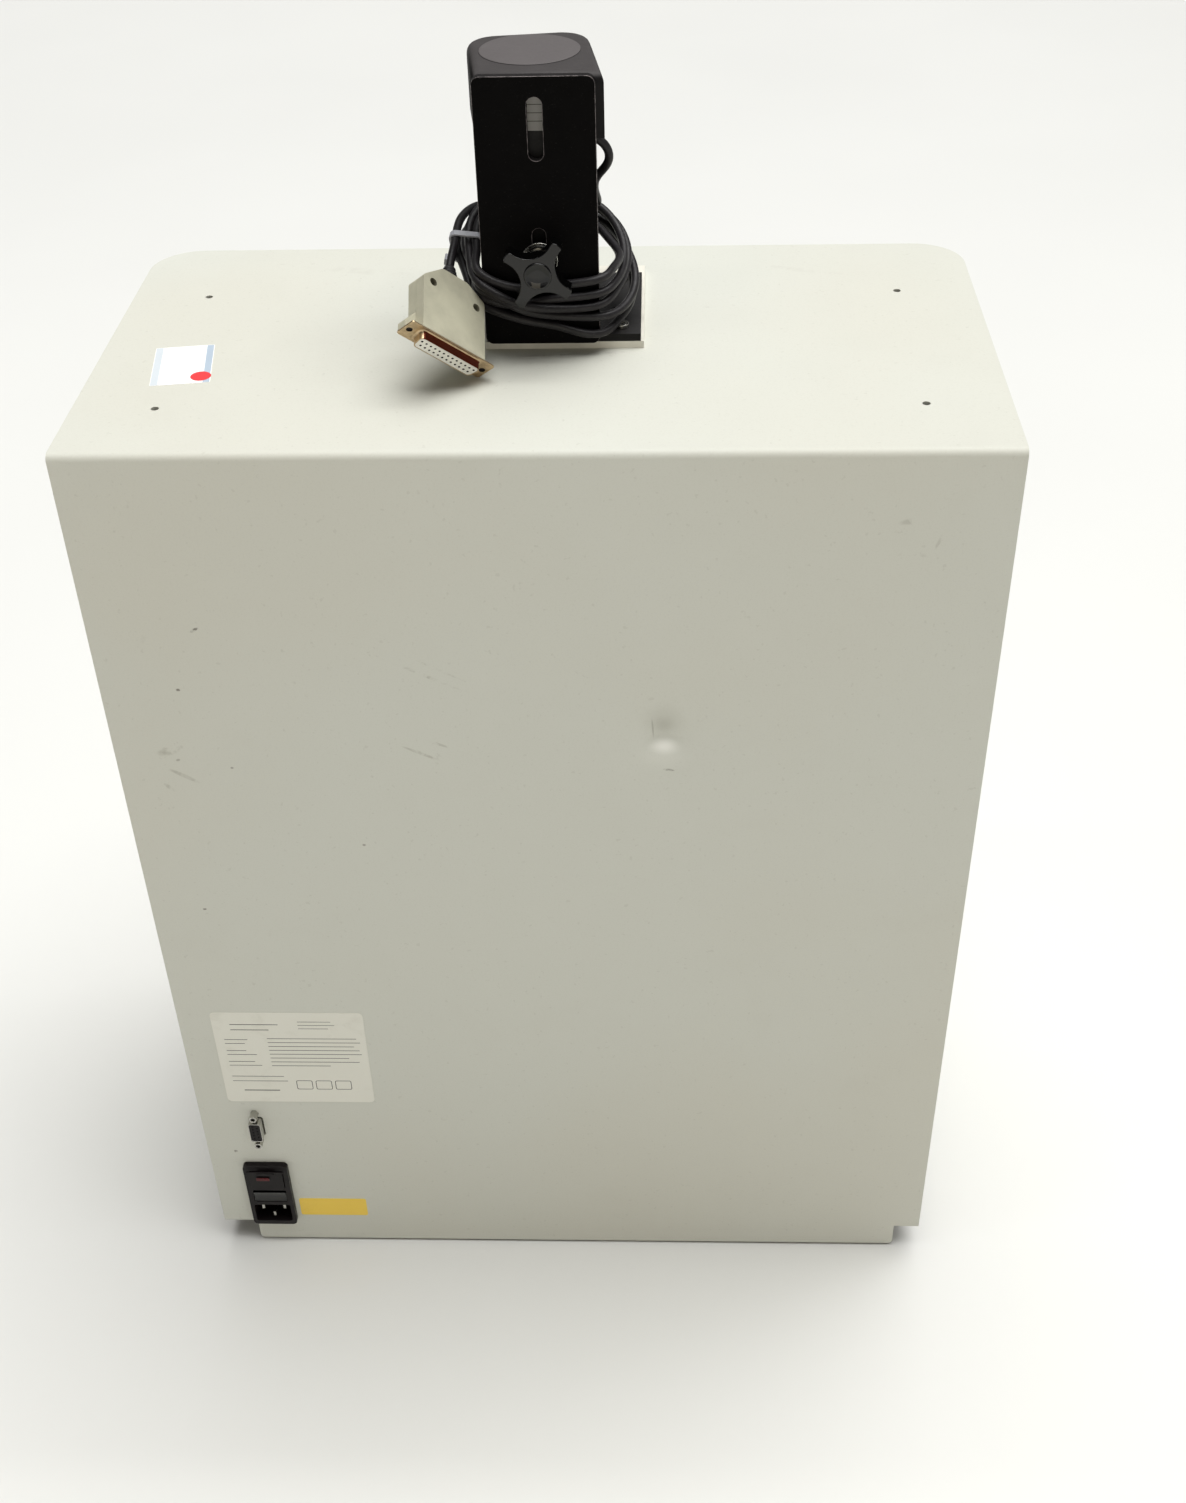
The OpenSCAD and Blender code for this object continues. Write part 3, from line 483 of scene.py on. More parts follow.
def node_bm(node):
    """the node's surface as a clean bmesh: merged vertices and whole flat faces"""
    src = NODES[node].data
    bm = bmesh.new()
    vs = [bm.verts.new(v.co) for v in src.vertices]
    for p in src.polygons:
        try:
            bm.faces.new([vs[i] for i in p.vertices])
        except ValueError:
            pass
    bmesh.ops.remove_doubles(bm, verts=bm.verts, dist=2e-6)
    bmesh.ops.dissolve_degenerate(bm, edges=bm.edges, dist=1e-7)
    bmesh.ops.dissolve_limit(bm, angle_limit=math.radians(0.6), verts=bm.verts, edges=bm.edges, delimit=set())
    bm.normal_update()
    return bm


def refine(node, width=0.0004, segs=2, mat=None, edge_mat=None, angle=32.0, edit=None, name=None):
    bm = node_bm(node)
    if edit:
        edit(bm)
    mats = [mat or M[RECORD_SLOT[node]]]
    if edge_mat:
        mats.append(edge_mat)
    o = from_bm(name or node + "_v", bm, mats)
    bevel(o, width, segs, angle, material=1 if edge_mat else -1)
    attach(o, BODY[node])
    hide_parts(node)
    return o


def place(o, mat4):
    """move a mesh built in its own axes (millimetres) to its place in the shared frame (metres)"""
    o.data.transform(Matrix.Scale(MM, 4) @ mat4)
    return o


def frame4(rot, origin):
    r = np.asarray(rot, float)
    return Matrix((
        (r[0][0], r[0][1], r[0][2], origin[0]),
        (r[1][0], r[1][1], r[1][2], origin[1]),
        (r[2][0], r[2][1], r[2][2], origin[2]),
        (0, 0, 0, 1)))


def circle(cx, cy, r, n=28, a0=0.0):
    return [(cx + r * math.cos(a0 + 2 * math.pi * i / n), cy + r * math.sin(a0 + 2 * math.pi * i / n)) for i in range(n)]


def rounded(poly, r, n=5):
    """the polygon with its corners rounded; r is one radius or one for each corner"""
    out = []
    k = len(poly)
    for i in range(k):
        p0, p1, p2 = (Vector(poly[(i + j) % k]) for j in (-1, 0, 1))
        rr = r[i] if hasattr(r, "__len__") else r
        a, b = (p0 - p1), (p2 - p1)
        la, lb = a.length, b.length
        a.normalize()
        b.normalize()
        ang = math.acos(max(-1, min(1, a.dot(b))))
        if rr <= 0 or ang > math.pi - 0.02:
            out.append(tuple(p1))
            continue
        d = min(rr / math.tan(ang / 2), la * 0.49, lb * 0.49)
        rad = d * math.tan(ang / 2)
        c = p1 + (a + b).normalized() * (rad / math.sin(ang / 2))
        s0 = p1 + a * d - c
        s1 = p1 + b * d - c
        t0 = math.atan2(s0.y, s0.x)
        dt = math.atan2(s1.y, s1.x) - t0
        while dt > math.pi:
            dt -= 2 * math.pi
        while dt < -math.pi:
            dt += 2 * math.pi
        for j in range(n + 1):
            t = t0 + dt * j / n
            out.append((c.x + rad * math.cos(t), c.y + rad * math.sin(t)))
    return out


def rect(cx, cy, w, h, r=0.0, n=5):
    q = [(cx - w / 2, cy - h / 2), (cx + w / 2, cy - h / 2), (cx + w / 2, cy + h / 2), (cx - w / 2, cy + h / 2)]
    return rounded(q, r, n) if r else q


def area2(poly):
    return sum(poly[i][0] * poly[(i + 1) % len(poly)][1] - poly[(i + 1) % len(poly)][0] * poly[i][1] for i in range(len(poly)))


def within(c, poly):
    inside = False
    for (x0, y0), (x1, y1) in zip(poly, poly[1:] + poly[:1]):
        if (y0 > c[1]) != (y1 > c[1]) and c[0] < x0 + (c[1] - y0) * (x1 - x0) / (y1 - y0):
            inside = not inside
    return inside


def slab(name, outline, thick, mats, mat4, holes=(), w0=0.0, wall=0, smooth=True):
    """a plate in the u-v plane, its top at w0 and thick deep; holes are (outline, depth, floor material), depth None goes through"""
    from mathutils.geometry import delaunay_2d_cdt
    loops = [list(outline) if area2(outline) > 0 else list(outline)[::-1]]
    for h in holes:
        loops.append(list(h[0]) if area2(h[0]) < 0 else list(h[0])[::-1])

    def tris(which):
        pts, edges = [], []
        for i in which:
            k, n = len(pts), len(loops[i])
            pts += [Vector(q) for q in loops[i]]
            edges += [(k + j, k + (j + 1) % n) for j in range(n)]
        vs, _, fs, _, _, _ = delaunay_2d_cdt(pts, edges, [], 1, 1e-6)
        keep = []
        for f in fs:
            c = (sum(vs[i].x for i in f) / len(f), sum(vs[i].y for i in f) / len(f))
            if not any(within(c, loops[i]) for i in which if i):
                keep.append(f)
        return vs, keep
    bm = bmesh.new()
    cache = {}

    def vert(x, y, w):
        key = (round(x, 4), round(y, 4), round(w, 4))
        if key not in cache:
            cache[key] = bm.verts.new((x, y, w))
        return cache[key]

    def face(vs, mi=0):
        try:
            f = bm.faces.new(vs)
            f.material_index = mi
            return f
        except ValueError:
            return None
    top, bot = w0, w0 - thick
    vs, fs = tris(range(len(loops)))
    for f in fs:
        face([vert(vs[i].x, vs[i].y, top) for i in f])
    thru = [0] + [i + 1 for i, h in enumerate(holes) if h[1] is None]
    vs, fs = tris(thru)
    for f in fs:
        face([vert(vs[i].x, vs[i].y, bot) for i in f][::-1])
    for i, lp in enumerate(loops):
        lo = bot if i == 0 or holes[i - 1][1] is None else top - holes[i - 1][1]
        mi = wall if i == 0 else (holes[i - 1][2] if holes[i - 1][1] is None else holes[i - 1][2])
        n = len(lp)
        for j in range(n):
            a, b = lp[j], lp[(j + 1) % n]
            face([vert(a[0], a[1], top), vert(a[0], a[1], lo), vert(b[0], b[1], lo), vert(b[0], b[1], top)], mi if i else wall)
        if i and holes[i - 1][1] is not None:
            face([vert(q[0], q[1], lo) for q in lp][::-1], holes[i - 1][2])
    o = from_bm(name, bm, mats, smooth)
    return place(o, mat4)


def lathe(name, profile, n, mats, mat4, close=False):
    """a turned body: profile of (radius, height) about the w axis"""
    bm = bmesh.new()
    rings = []
    for r, h in profile:
        if r < 1e-6:
            rings.append([bm.verts.new((0, 0, h))])
        else:
            rings.append([bm.verts.new((r * math.cos(2 * math.pi * i / n), r * math.sin(2 * math.pi * i / n), h)) for i in range(n)])
    pairs = list(zip(rings, rings[1:])) + ([(rings[-1], rings[0])] if close else [])
    for a, b in pairs:
        for i in range(n):
            j = (i + 1) % n
            if len(a) == 1 and len(b) == 1:
                continue
            if len(a) == 1:
                bm.faces.new([a[0], b[i], b[j]])
            elif len(b) == 1:
                bm.faces.new([a[i], b[0], a[j]])
            else:
                bm.faces.new([a[i], b[i], b[j], a[j]])
    if not close:
        for rg, flip in ((rings[0], True), (rings[-1], False)):
            if len(rg) > 1:
                bm.faces.new(rg if not flip else rg[::-1])
    o = from_bm(name, bm, mats)
    return place(o, mat4)


def join(name, parts):
    """several meshes as one piece, keeping their materials"""
    mats, verts, faces, idx, sm = [], [], [], [], []
    for o in parts:
        base = len(verts)
        ms = []
        for mt in o.data.materials:
            if mt not in mats:
                mats.append(mt)
            ms.append(mats.index(mt))
        verts += [tuple(o.matrix_world @ v.co) for v in o.data.vertices]
        for p in o.data.polygons:
            faces.append([base + i for i in p.vertices])
            idx.append(ms[p.material_index] if ms else 0)
            sm.append(p.use_smooth)
        me = o.data
        bpy.data.objects.remove(o)
        bpy.data.meshes.remove(me)
    o = new_object(name, verts, faces, mats, smooth=False)
    o.data.polygons.foreach_set("material_index", idx)
    o.data.polygons.foreach_set("use_smooth", sm)
    return o


# axes for things on the rear face: u to the right as seen from behind, v up, w out of the panel
REAR = np.array([[1, 0, 0], [0, 0, -1], [0, 1, 0]], float)


def own(o, body, slot, *nodes):
    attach(o, body)
    if nodes:
        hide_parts(*nodes)
    return o


# every CAD node gets a finish, whether it is shown or replaced
for n, o in NODES.items():
    mt = M.get(RECORD_SLOT.get(n), M["plastic_black"])
    o.data.materials.clear()
    o.data.materials.append(mt)



# ------------------------------------------------------------------ the camera lead
def rot_x(a):
    a = math.radians(a)
    return np.array([[1, 0, 0], [0, math.cos(a), -math.sin(a)], [0, math.sin(a), math.cos(a)]])


def rot_y(a):
    a = math.radians(a)
    return np.array([[math.cos(a), 0, math.sin(a)], [0, 1, 0], [-math.sin(a), 0, math.cos(a)]])


COIL_R = rot_y(11) @ rot_x(18)
COIL_O = np.array([2.0, -3.0, T + 35.0])


def rot_z(a):
    a = math.radians(a)
    return np.array([[math.cos(a), -math.sin(a), 0], [math.sin(a), math.cos(a), 0], [0, 0, 1]])


PLUG_R = rot_z(30) @ rot_y(39.5) @ rot_x(128.5)
PLUG_O = np.array([-44.5, -74.5, T + 21.0])


def coil_world(p):
    return COIL_O + np.asarray(p, float) @ COIL_R.T


LEAD_D = 4.3
EXIT = [(21, -12, 104), (24.5, -12, 104), (28, -12, 103.6), (31.6, -12, 102.2), (34.6, -11.8, 99.8),
        (36.7, -11.4, 96.6), (37.5, -10.8, 92.9), (36.6, -9.6, 89.2), (34.2, -7.8, 86.4), (31, -5.4, 84),
        (28.2, -2.2, 81), (26, 2.4, 76.8), (25.3, 6, 72), (26, 9.5, 66.5), (27.8, 14, 61.5), (28.6, 20, 57.5),
        (26, 27, 54.5), (20, 32.5, 53)]
TAIL = [(-43.5, -9, 50), (-43.8, -13, 50.4), (-44.2, -17, 49.9), (-44.6, -21.5, 48.3), (-45.2, -26, 46),
        (-45.6, -30.5, 43.5)]
TURNS = [
    [(4, 41, 7), (-10, 41.5, 7), (-24, 36, 7.5), (-35, 24, 8), (-39, 10, 8.5), (-37, -6, 9), (-33, -18, 9.5),
     (-25.8, -32.4, 9.5), (-18.7, -33, 9), (-12.6, -32.9, 8.8), (0, -31, 11.5), (11.2, -29.5, 15.3), (16.7, -29.5, 17),
     (23, -28.2, 20.5), (29.7, -18, 19), (34.5, -7, 14), (36.4, 3, 10), (34.8, 11, 9), (29, 17, 7)],
    [(24.5, 30, 4), (12, 38, 3), (-8, 39, 2.5), (-23, 34.5, 2), (-35, 22, 1.5), (-39.5, 8, 1), (-38, -8, 0.5),
     (-33.5, -21, 0.5), (-24, -34.8, 0.5), (-14.5, -36.8, -1.2), (-8, -36.4, 2.5), (-2, -35.8, 6), (6, -34.3, 8.5),
     (12.4, -32.9, 9.5), (21.2, -31.2, 11), (28, -29.8, 14.2), (33.4, -20.8, 12), (37.4, -9.1, 9), (38.2, 2, 7),
     (38, 13, 7)],
    [(34, 26, 8), (24, 39, 10), (8, 45.5, 9.5), (-10, 46, 9), (-25, 41, 8.5), (-37, 30, 7), (-43, 14, 6),
     (-41.5, -2, 6), (-38.5, -12, 6.5), (-33.8, -21.8, 7.5), (-23.6, -38.4, 9), (-14.4, -41.6, 6), (-4, -40, 5),
     (7, -36.9, 4), (18.8, -33.8, 4.7), (28.6, -32.2, 7.6), (35.4, -18, 6), (38.8, -8, 4), (40, 2, 2.5), (41, 14, 3)],
    [(36, 30, 4), (25, 43, 5), (8, 47, 4), (-10, 47, 3.5), (-26, 42, 3), (-38, 31, 1.5), (-44, 16, 0),
     (-43.6, 1.5, 0.5), (-40, -8, 1.5), (-33.9, -17.2, 3), (-23.6, -33.9, 5), (-14.4, -37.2, 2.2), (-5.5, -37.9, 0),
     (5.6, -37.4, 0), (12.6, -36.6, 0), (26.4, -34.6, 1.5), (36.9, -28.6, 0), (43.5, -17, -1), (46.3, -4.9, -1),
     (45.3, 6.7, 0), (40.1, 20.9, 0), (33.4, 33.4, 0), (23, 44, -1)],
    [(8, 47.5, -2), (-10, 47.5, -2), (-26, 42.5, -3), (-38.5, 31, -4), (-45.5, 16, -4), (-47.3, 2.6, -3.5),
     (-42.3, -9, -3), (-36.1, -21, -2), (-30.4, -29.8, -2.5), (-23.2, -35, -4.2), (-15.2, -36.8, -5.4),
     (-4.7, -39.4, -5), (0.8, -39.6, -5), (6.6, -38, -4.6), (13.2, -37.7, -4.6), (17.3, -39.1, -7), (24.7, -39.1, -8),
     (31.5, -35.2, -8), (38, -25.5, -8), (43.6, -16.6, -8), (45.6, -7.1, -8), (45.5, 6, -7), (41.5, 20, -6),
     (34, 33, -5.5), (23, 43, -6.5)],
    [(8, 46.5, -7), (-12, 47.5, -6.5), (-28, 44.5, -3.5), (-40.5, 34, 1), (-47, 20, 5), (-48.8, 7, 7.3)],
]


def catmull(P, step):
    """points a step apart on a centripetal Catmull-Rom curve through P"""
    P = np.asarray(P, float)
    n = len(P)
    out = []
    for i in range(n - 1):
        p1, p2 = P[i], P[i + 1]
        p0 = P[i - 1] if i else 2 * p1 - p2
        p3 = P[i + 2] if i < n - 2 else 2 * p2 - p1

        def k(a, b):
            return max(np.linalg.norm(b - a) ** 0.5, 1e-6)
        a0 = 0.0
        a1 = k(p0, p1)
        a2 = a1 + k(p1, p2)
        a3 = a2 + k(p2, p3)
        cnt = max(2, int(math.ceil(np.linalg.norm(p2 - p1) / 0.5)))
        for t in np.linspace(a1, a2, cnt, endpoint=False):
            q1 = (a1 - t) / (a1 - a0) * p0 + (t - a0) / (a1 - a0) * p1
            q2 = (a2 - t) / (a2 - a1) * p1 + (t - a1) / (a2 - a1) * p2
            q3 = (a3 - t) / (a3 - a2) * p2 + (t - a2) / (a3 - a2) * p3
            r1 = (a2 - t) / (a2 - a0) * q1 + (t - a0) / (a2 - a0) * q2
            r2 = (a3 - t) / (a3 - a1) * q2 + (t - a1) / (a3 - a1) * q3
            out.append((a2 - t) / (a2 - a1) * r1 + (t - a1) / (a2 - a1) * r2)
    out.append(P[-1])
    out = np.array(out)
    s = np.r_[0, np.cumsum(np.linalg.norm(np.diff(out, axis=0), axis=1))]
    q = np.linspace(0, s[-1], int(round(s[-1] / step)) + 1)
    return np.stack([np.interp(q, s, out[:, i]) for i in range(3)], -1)


def gauss(P, sig):
    k = int(3 * sig)
    g = np.exp(-0.5 * (np.arange(-k, k + 1) / sig) ** 2)
    g /= g.sum()
    Q = np.vstack([2 * P[0] - P[k:0:-1], P, 2 * P[-1] - P[-2:-k - 2:-1]])
    return np.stack([np.convolve(Q[:, i], g, "valid") for i in range(Q.shape[1])], -1)


def ease(P, least):
    """open out any bend tighter than least"""
    a = P[2:-2] - P[:-4]
    b = P[4:] - P[2:-2]
    la, lb, lc = (np.linalg.norm(v, axis=1) for v in (a, b, a + b))
    area = np.linalg.norm(np.cross(a, b), axis=1)
    rad = la * lb * lc / np.maximum(2 * area, 1e-9)
    t = np.zeros(len(P))
    t[2:-2] = np.clip((least - rad) / 1.5, 0, 1)
    t = gauss(t[:, None], 2.0)
    t[:3] = t[-3:] = 0
    return P + (gauss(P, 2.0) - P) * np.clip(t * 1.2, 0, 1)


def settle(P, d, iters):
    """strands that share a place push each other a diameter apart, and stay off the stand and the camera"""
    P = gauss(P, 4.0)
    P0 = P.copy()
    idx = np.arange(len(P))
    far = np.abs(idx[:, None] - idx[None, :]) > 8
    w = np.clip((np.minimum(idx, len(P) - 1 - idx) - 4) / 8.0, 0, 1)[:, None]
    # outer planes of the plug's cover, in the plug's own axes: normal and offset
    planes = np.array([(0, 1, 0, 5.6), (0.492, 0, -0.871, 41.0), (0, 0, -1, 42.0), (1, 0, 0, 20.5)])

    def out_of(mv, lo, hi, g, sides):
        lo = np.array(lo, float) - g
        hi = np.array(hi, float) + g
        ins = np.nonzero(((P > lo) & (P < hi)).all(1))[0]
        for r in ins:
            gaps = [(P[r, a] - lo[a]) if s < 0 else (hi[a] - P[r, a]) for a, s in sides]
            j = int(np.argmin(gaps))
            mv[r, sides[j][0]] += sides[j][1] * gaps[j] * 0.7
    for it in range(iters):
        D = P[:, None, :] - P[None, :, :]
        r = np.sqrt((D * D).sum(2))
        near = far & (r < d)
        mv = (np.where(near, (d - r) / np.maximum(r, 1e-6), 0)[:, :, None] * D).sum(1) * 0.3
        out_of(mv, (-29, -33, T), (29, -28.5, T + 138), 2.4, [(0, -1), (0, 1), (1, -1)])
        out_of(mv, (-21, -28, T + 34), (21, 24, T + 134), 2.4, [(0, -1), (0, 1), (1, 1)])
        q = (P - PLUG_O) @ PLUG_R
        dep = q @ planes[:, :3].T - planes[:, 3] - 2.3
        ins = (dep < 0).all(1) & (q[:, 1] > -7.8) & (q[:, 0] > -21.8) & (q[:, 2] < 2) & (idx < len(P) - 20)
        for r in np.nonzero(ins)[0]:
            j = int(np.argmax(dep[r]))
            mv[r] += -dep[r, j] * 0.7 * (PLUG_R @ planes[j, :3])
        P = P + gauss(mv, 2.0) * 1.1 * w * np.minimum(1, 1.0 / np.maximum(np.linalg.norm(mv, axis=1, keepdims=True), 1e-9))
        if it % 10 == 9:
            P = P0 + gauss(P - P0, 1.2)
        if it % 3 == 2:
            P = ease(P, 10.5)
    return P


up = np.array([0, 0, T])
route = np.vstack([np.array(EXIT, float) + up, coil_world(np.vstack([np.array(t, float) for t in TURNS])),
                   np.array(TAIL, float) + up])
lead_pts = catmull(route, 2.0)
lead_pts = settle(lead_pts, LEAD_D, 150)


def tube_curve(name, pts_mm, radius, mat, res=5):
    cu = bpy.data.curves.new(name, "CURVE")
    cu.dimensions = "3D"
    cu.bevel_depth = radius
    cu.bevel_resolution = res
    cu.use_fill_caps = True
    sp = cu.splines.new("POLY")
    sp.points.add(len(pts_mm) - 1)
    for p, q in zip(sp.points, pts_mm):
        p.co = (q[0] * MM, q[1] * MM, q[2] * MM, 1.0)
    sp.use_smooth = True
    cu.materials.append(mat)
    o = bpy.data.objects.new(name, cu)
    scene.collection.objects.link(o)
    return o


lead = tube_curve("camera_lead", lead_pts, LEAD_D / 2 * MM, M["lead_rubber"])
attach(lead, "camera_head")
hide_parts("lead_exit", "cable_coil", "lead_tail")


# ------------------------------------------------------------------ sheet and plates carried over with real edges
def dent(bm):
    """the knock in the rear panel: its upper wall leans down, its lower wall leans up, with a crease beside it"""
    cx, cz, r = 0.0614, 0.4193, 0.045
    bm.verts.ensure_lookup_table()

    def skin(f):
        ys = [q.co.y for q in f.verts]
        return max(ys) < -0.1360 and max(ys) - min(ys) < 1e-5

    def cut(axis, v, other, lo, hi):
        fs = [f for f in bm.faces if skin(f) and min(q.co[axis] for q in f.verts) < v - 1e-6 and max(q.co[axis] for q in f.verts) > v + 1e-6
              and min(q.co[other] for q in f.verts) < hi and max(q.co[other] for q in f.verts) > lo]
        if not fs:
            return
        geo = list({e for f in fs for e in f.edges} | {q for f in fs for q in f.verts}) + fs
        no = [0.0, 0.0, 0.0]
        no[axis] = 1.0
        co = [0.0, 0.0, 0.0]
        co[axis] = v
        bmesh.ops.bisect_plane(bm, geom=geo, plane_co=co, plane_no=no, dist=1e-7)
    e = 1e-4
    for v in (cx - r, cx + r):
        cut(0, v, 2, -9, 9)
    for v in (cz - r, cz + r):
        cut(2, v, 0, cx - r + e, cx + r - e)
    k = 48
    for i in range(1, k):
        cut(0, cx - r + 2 * r * i / k, 2, cz - r + e, cz + r - e)
    for i in range(1, k):
        cut(2, cz - r + 2 * r * i / k, 0, cx - r + e, cx + r - e)
    for q in bm.verts:
        x, y, z = q.co
        if y > -0.1360 or abs(x - cx) > r * 0.999 or abs(z - cz) > r * 0.999:
            continue
        u = (x - cx) / 0.0098
        v = z - cz
        prof = max(0.0, 1 + v / 0.0110) if v < 0 else max(0.0, 1 - v / 0.0190)
        prof = prof * prof * (3 - 2 * prof) if v > 0 else prof ** 1.1
        pocket = prof / (1 + abs(u) ** 3.6)
        crease = math.exp(-((x - 0.0553) / 0.0016) ** 2) * max(0.0, 1 - abs((v - 0.006) / 0.011))
        nick = math.exp(-((x - 0.0640) / 0.0034) ** 2 - ((z - 0.3994) / 0.0011) ** 2)
        soft = math.exp(-((x - cx) / 0.021) ** 2 - ((v + 0.002) / 0.026) ** 2)
        edge = min(1.0, max(0.0, (r - max(abs(x - cx), abs(z - cz))) / 0.012))
        edge = edge * edge * (3 - 2 * edge)
        q.co.y += (0.0029 * pocket + 0.0006 * crease + 0.0004 * nick + 0.0013 * soft) * edge


refine("top_rear_panel", 0.0005, 2, edit=dent, name="roof_and_rear_sheet")
refine("casing_wrap", 0.0006, 2, name="casing_sides_and_front")
# the upright's bevels take the worn edge colour with its painted highlight
refine("stand_upright", 0.00055, 3, mat=M["upright_black"], edge_mat=M["worn_edge"], name="upright_plate")
refine("stand_base_plate", 0.0006, 2, name="stand_foot_plate")
refine("stand_shim", 0.0004, 2, mat=M["shim_white"], name="stand_gasket")
refine("camera_body", 0.0012, 2, name="camera_case")
refine("control_panel", 0.0004, 2, name="switch_panel")
refine("switch_bezels", 0.0004, 2, name="rocker_bezels")
refine("door_shell", 0.0012, 3, name="door_outer")
refine("door_inner_pan", 0.0004, 2, name="door_liner")
refine("door_handle", 0.0028, 4, name="door_pull")
refine("drawer_front", 0.0012, 3, name="drawer_outer")
refine("window_glass", 0.0005, 2, name="viewing_window")
refine("hinge_frame_leaves", 0.0003, 2, name="hinge_leaves_frame")
refine("hinge_door_leaves", 0.0003, 2, name="hinge_leaves_door")
refine("hinge_pins", 0.0003, 2, name="hinge_pin_pair")
refine("drawer_tray", 0.0005, 2, name="drawer_box")
refine("transilluminator_case", 0.0012, 2, name="light_box_case")
refine("uv_filter_glass", 0.0005, 2, name="light_box_glass")
for n in ("power_rocker", "uv_rocker", "white_rocker", "inlet_rocker"):
    refine(n, 0.0005, 3, name=n + "_key")
refine("inlet_housing", 0.0006, 3, name="mains_inlet_body")
refine("fuse_drawer", 0.0003, 2, name="fuse_carrier")
refine("inlet_pins", 0.0004, 2, name="mains_blades")
refine("serial_shell", 0.0003, 2, name="serial_d_shell")
refine("serial_insulator", 0.00015, 1, name="serial_block")
refine("serial_jackscrews", 0.0003, 2, name="serial_hex_screws")
refine("stand_screws", 0.0004, 2, name="stand_socket_screws")
refine("lens_barrel", 0.0006, 2, name="lens_tube")
refine("lens_collar", 0.0006, 2, name="light_collar")
refine("focus_ring", 0.0003, 2, name="lens_focus_ring")
refine("filter_wheel", 0.0003, 2, name="filter_disc")
refine("clamp_washer", 0.0003, 2, name="knob_washer")
refine("rubber_feet", 0.0012, 2, name="feet")

# ------------------------------------------------------------------ camera hood with its flush lid
def inset(poly, d):
    """the outline moved inward by d, corner by corner"""
    if abs(d) < 1e-9:
        return list(poly)
    sgn = 1 if area2(poly) > 0 else -1
    out = []
    k = len(poly)
    for i in range(k):
        p0, p1, p2 = (Vector(poly[(i + j) % k]) for j in (-1, 0, 1))
        a = (p1 - p0).normalized()
        b = (p2 - p1).normalized()
        na, nb = Vector((-a.y, a.x)) * sgn, Vector((-b.y, b.x)) * sgn
        m = na + nb
        if m.length < 1e-6:
            m = na.copy()
        m.normalize()
        out.append(tuple(p1 + m * (d / max(0.5, m.dot(na)))))
    return out


def loft(name, outline, rows, mats, mat4):
    """one outline drawn through rows of (inset, height), closed at both ends"""
    bm = bmesh.new()
    rings = [[bm.verts.new((x, y, w)) for x, y in inset(outline, d)] for d, w in rows]
    k = len(outline)
    for a, b in zip(rings, rings[1:]):
        for i in range(k):
            j = (i + 1) % k
            bm.faces.new([a[i], b[i], b[j], a[j]])
    bm.faces.new(rings[0])
    bm.faces.new(rings[-1][::-1])
    return place(from_bm(name, bm, mats), mat4)


def clip_low(poly, y):
    out = []
    for i in range(len(poly)):
        a, b = poly[i], poly[(i + 1) % len(poly)]
        if a[1] >= y:
            out.append(a)
        if (a[1] - y) * (b[1] - y) < 0:
            t = (y - a[1]) / (b[1] - a[1])
            out.append((a[0] + (b[0] - a[0]) * t, y))
    return out


def dedupe(poly, eps=0.02):
    out = []
    for q in poly:
        if not out or math.hypot(q[0] - out[-1][0], q[1] - out[-1][1]) > eps:
            out.append(q)
    if math.hypot(out[0][0] - out[-1][0], out[0][1] - out[-1][1]) <= eps:
        out.pop()
    return out


plan = [(0, 0), (61, 0)] + [(46 + 15 * math.cos(t), 72 + 15 * math.sin(t)) for t in np.linspace(0, math.pi / 2, 14)]
plan += [(15 + 15 * math.cos(t), 72 + 15 * math.sin(t)) for t in np.linspace(math.pi / 2, math.pi, 14)]
ca, sa = math.cos(math.radians(8)), math.sin(math.radians(8))
plan = [((x - 31) * ca - (y - 40) * sa, (x - 31) * sa + (y - 40) * ca - 9) for x, y in plan]
plan = dedupe(clip_low(plan, -28.0))
HOOD = Matrix.Translation((0, 0, T))
hood = loft("camera_cover", plan, [(2.2, 135.6), (2.2, 106.9), (2.0, 106.7), (0.3, 106.7), (0.0, 107.0), (0.0, 132.6), (0.1, 133.9),
                                   (0.45, 135.2), (1.05, 136.3), (1.95, 137.1), (3.0, 137.55), (4.2, 137.7)], [M["hood_grey"]], HOOD)
w = hood.modifiers.new("shade", "WEIGHTED_NORMAL")
w.weight = 50
own(hood, "camera_head", "hood_grey", "camera_hood")
disc = lathe("camera_cover_lid", [(0, 138.15), (23.9, 138.15), (24.5, 138.05), (24.8, 137.8), (24.8, 137.4), (0, 137.4)], 96,
             [M["hood_disc"]], Matrix.Translation((-3.6, 8.4, T)))
own(disc, "camera_head", "hood_grey", "camera_hood")

# ------------------------------------------------------------------ data plug
PLUG = frame4(PLUG_R, PLUG_O)
UP = np.array([[1, 0, 0], [0, 0, 1], [0, 1, 0]], float)          # u = plug x, v = plug z, w = plug y


def plug_side(w):
    """axes for outlines drawn in the plug's x-z plane, w along its y"""
    return PLUG @ Matrix(((1, 0, 0, 0), (0, 0, 1, 0), (0, 1, 0, 0), (0, 0, 0, 1)))


PS = plug_side(0)
half = rounded([(-19.5, -0.9), (20.5, -0.9), (20.5, -35.5), (9, -42), (-7, -42), (-19.5, -32)], [0.4, 0.4, 2.2, 5.0, 5.0, 3.0], 6)
ears = rounded([(-26, -0.9), (26, -0.9), (26, -5), (20.5, -12.5), (-19.5, -12.5), (-26, -5)], [0.8, 0.8, 1.6, 1.0, 1.0, 1.6], 4)
seam = rounded([(-19.1, -1.2), (20.1, -1.2), (20.1, -35.2), (8.8, -41.6), (-6.8, -41.6), (-19.1, -31.8)], [0.4, 0.4, 2.2, 5.0, 5.0, 3.0], 6)
# screw recesses with walls and floors in painted shade
bores = [(circle(-13.2, -30.5, 2.15, 24), 3.0, 1), (circle(15.0, -30.2, 2.15, 24), 3.4, 1)]
cover_a = slab("cover_a", half, 5.5, [M["plastic_beige"], M["beige_dark"]], PS, holes=bores, w0=5.6)
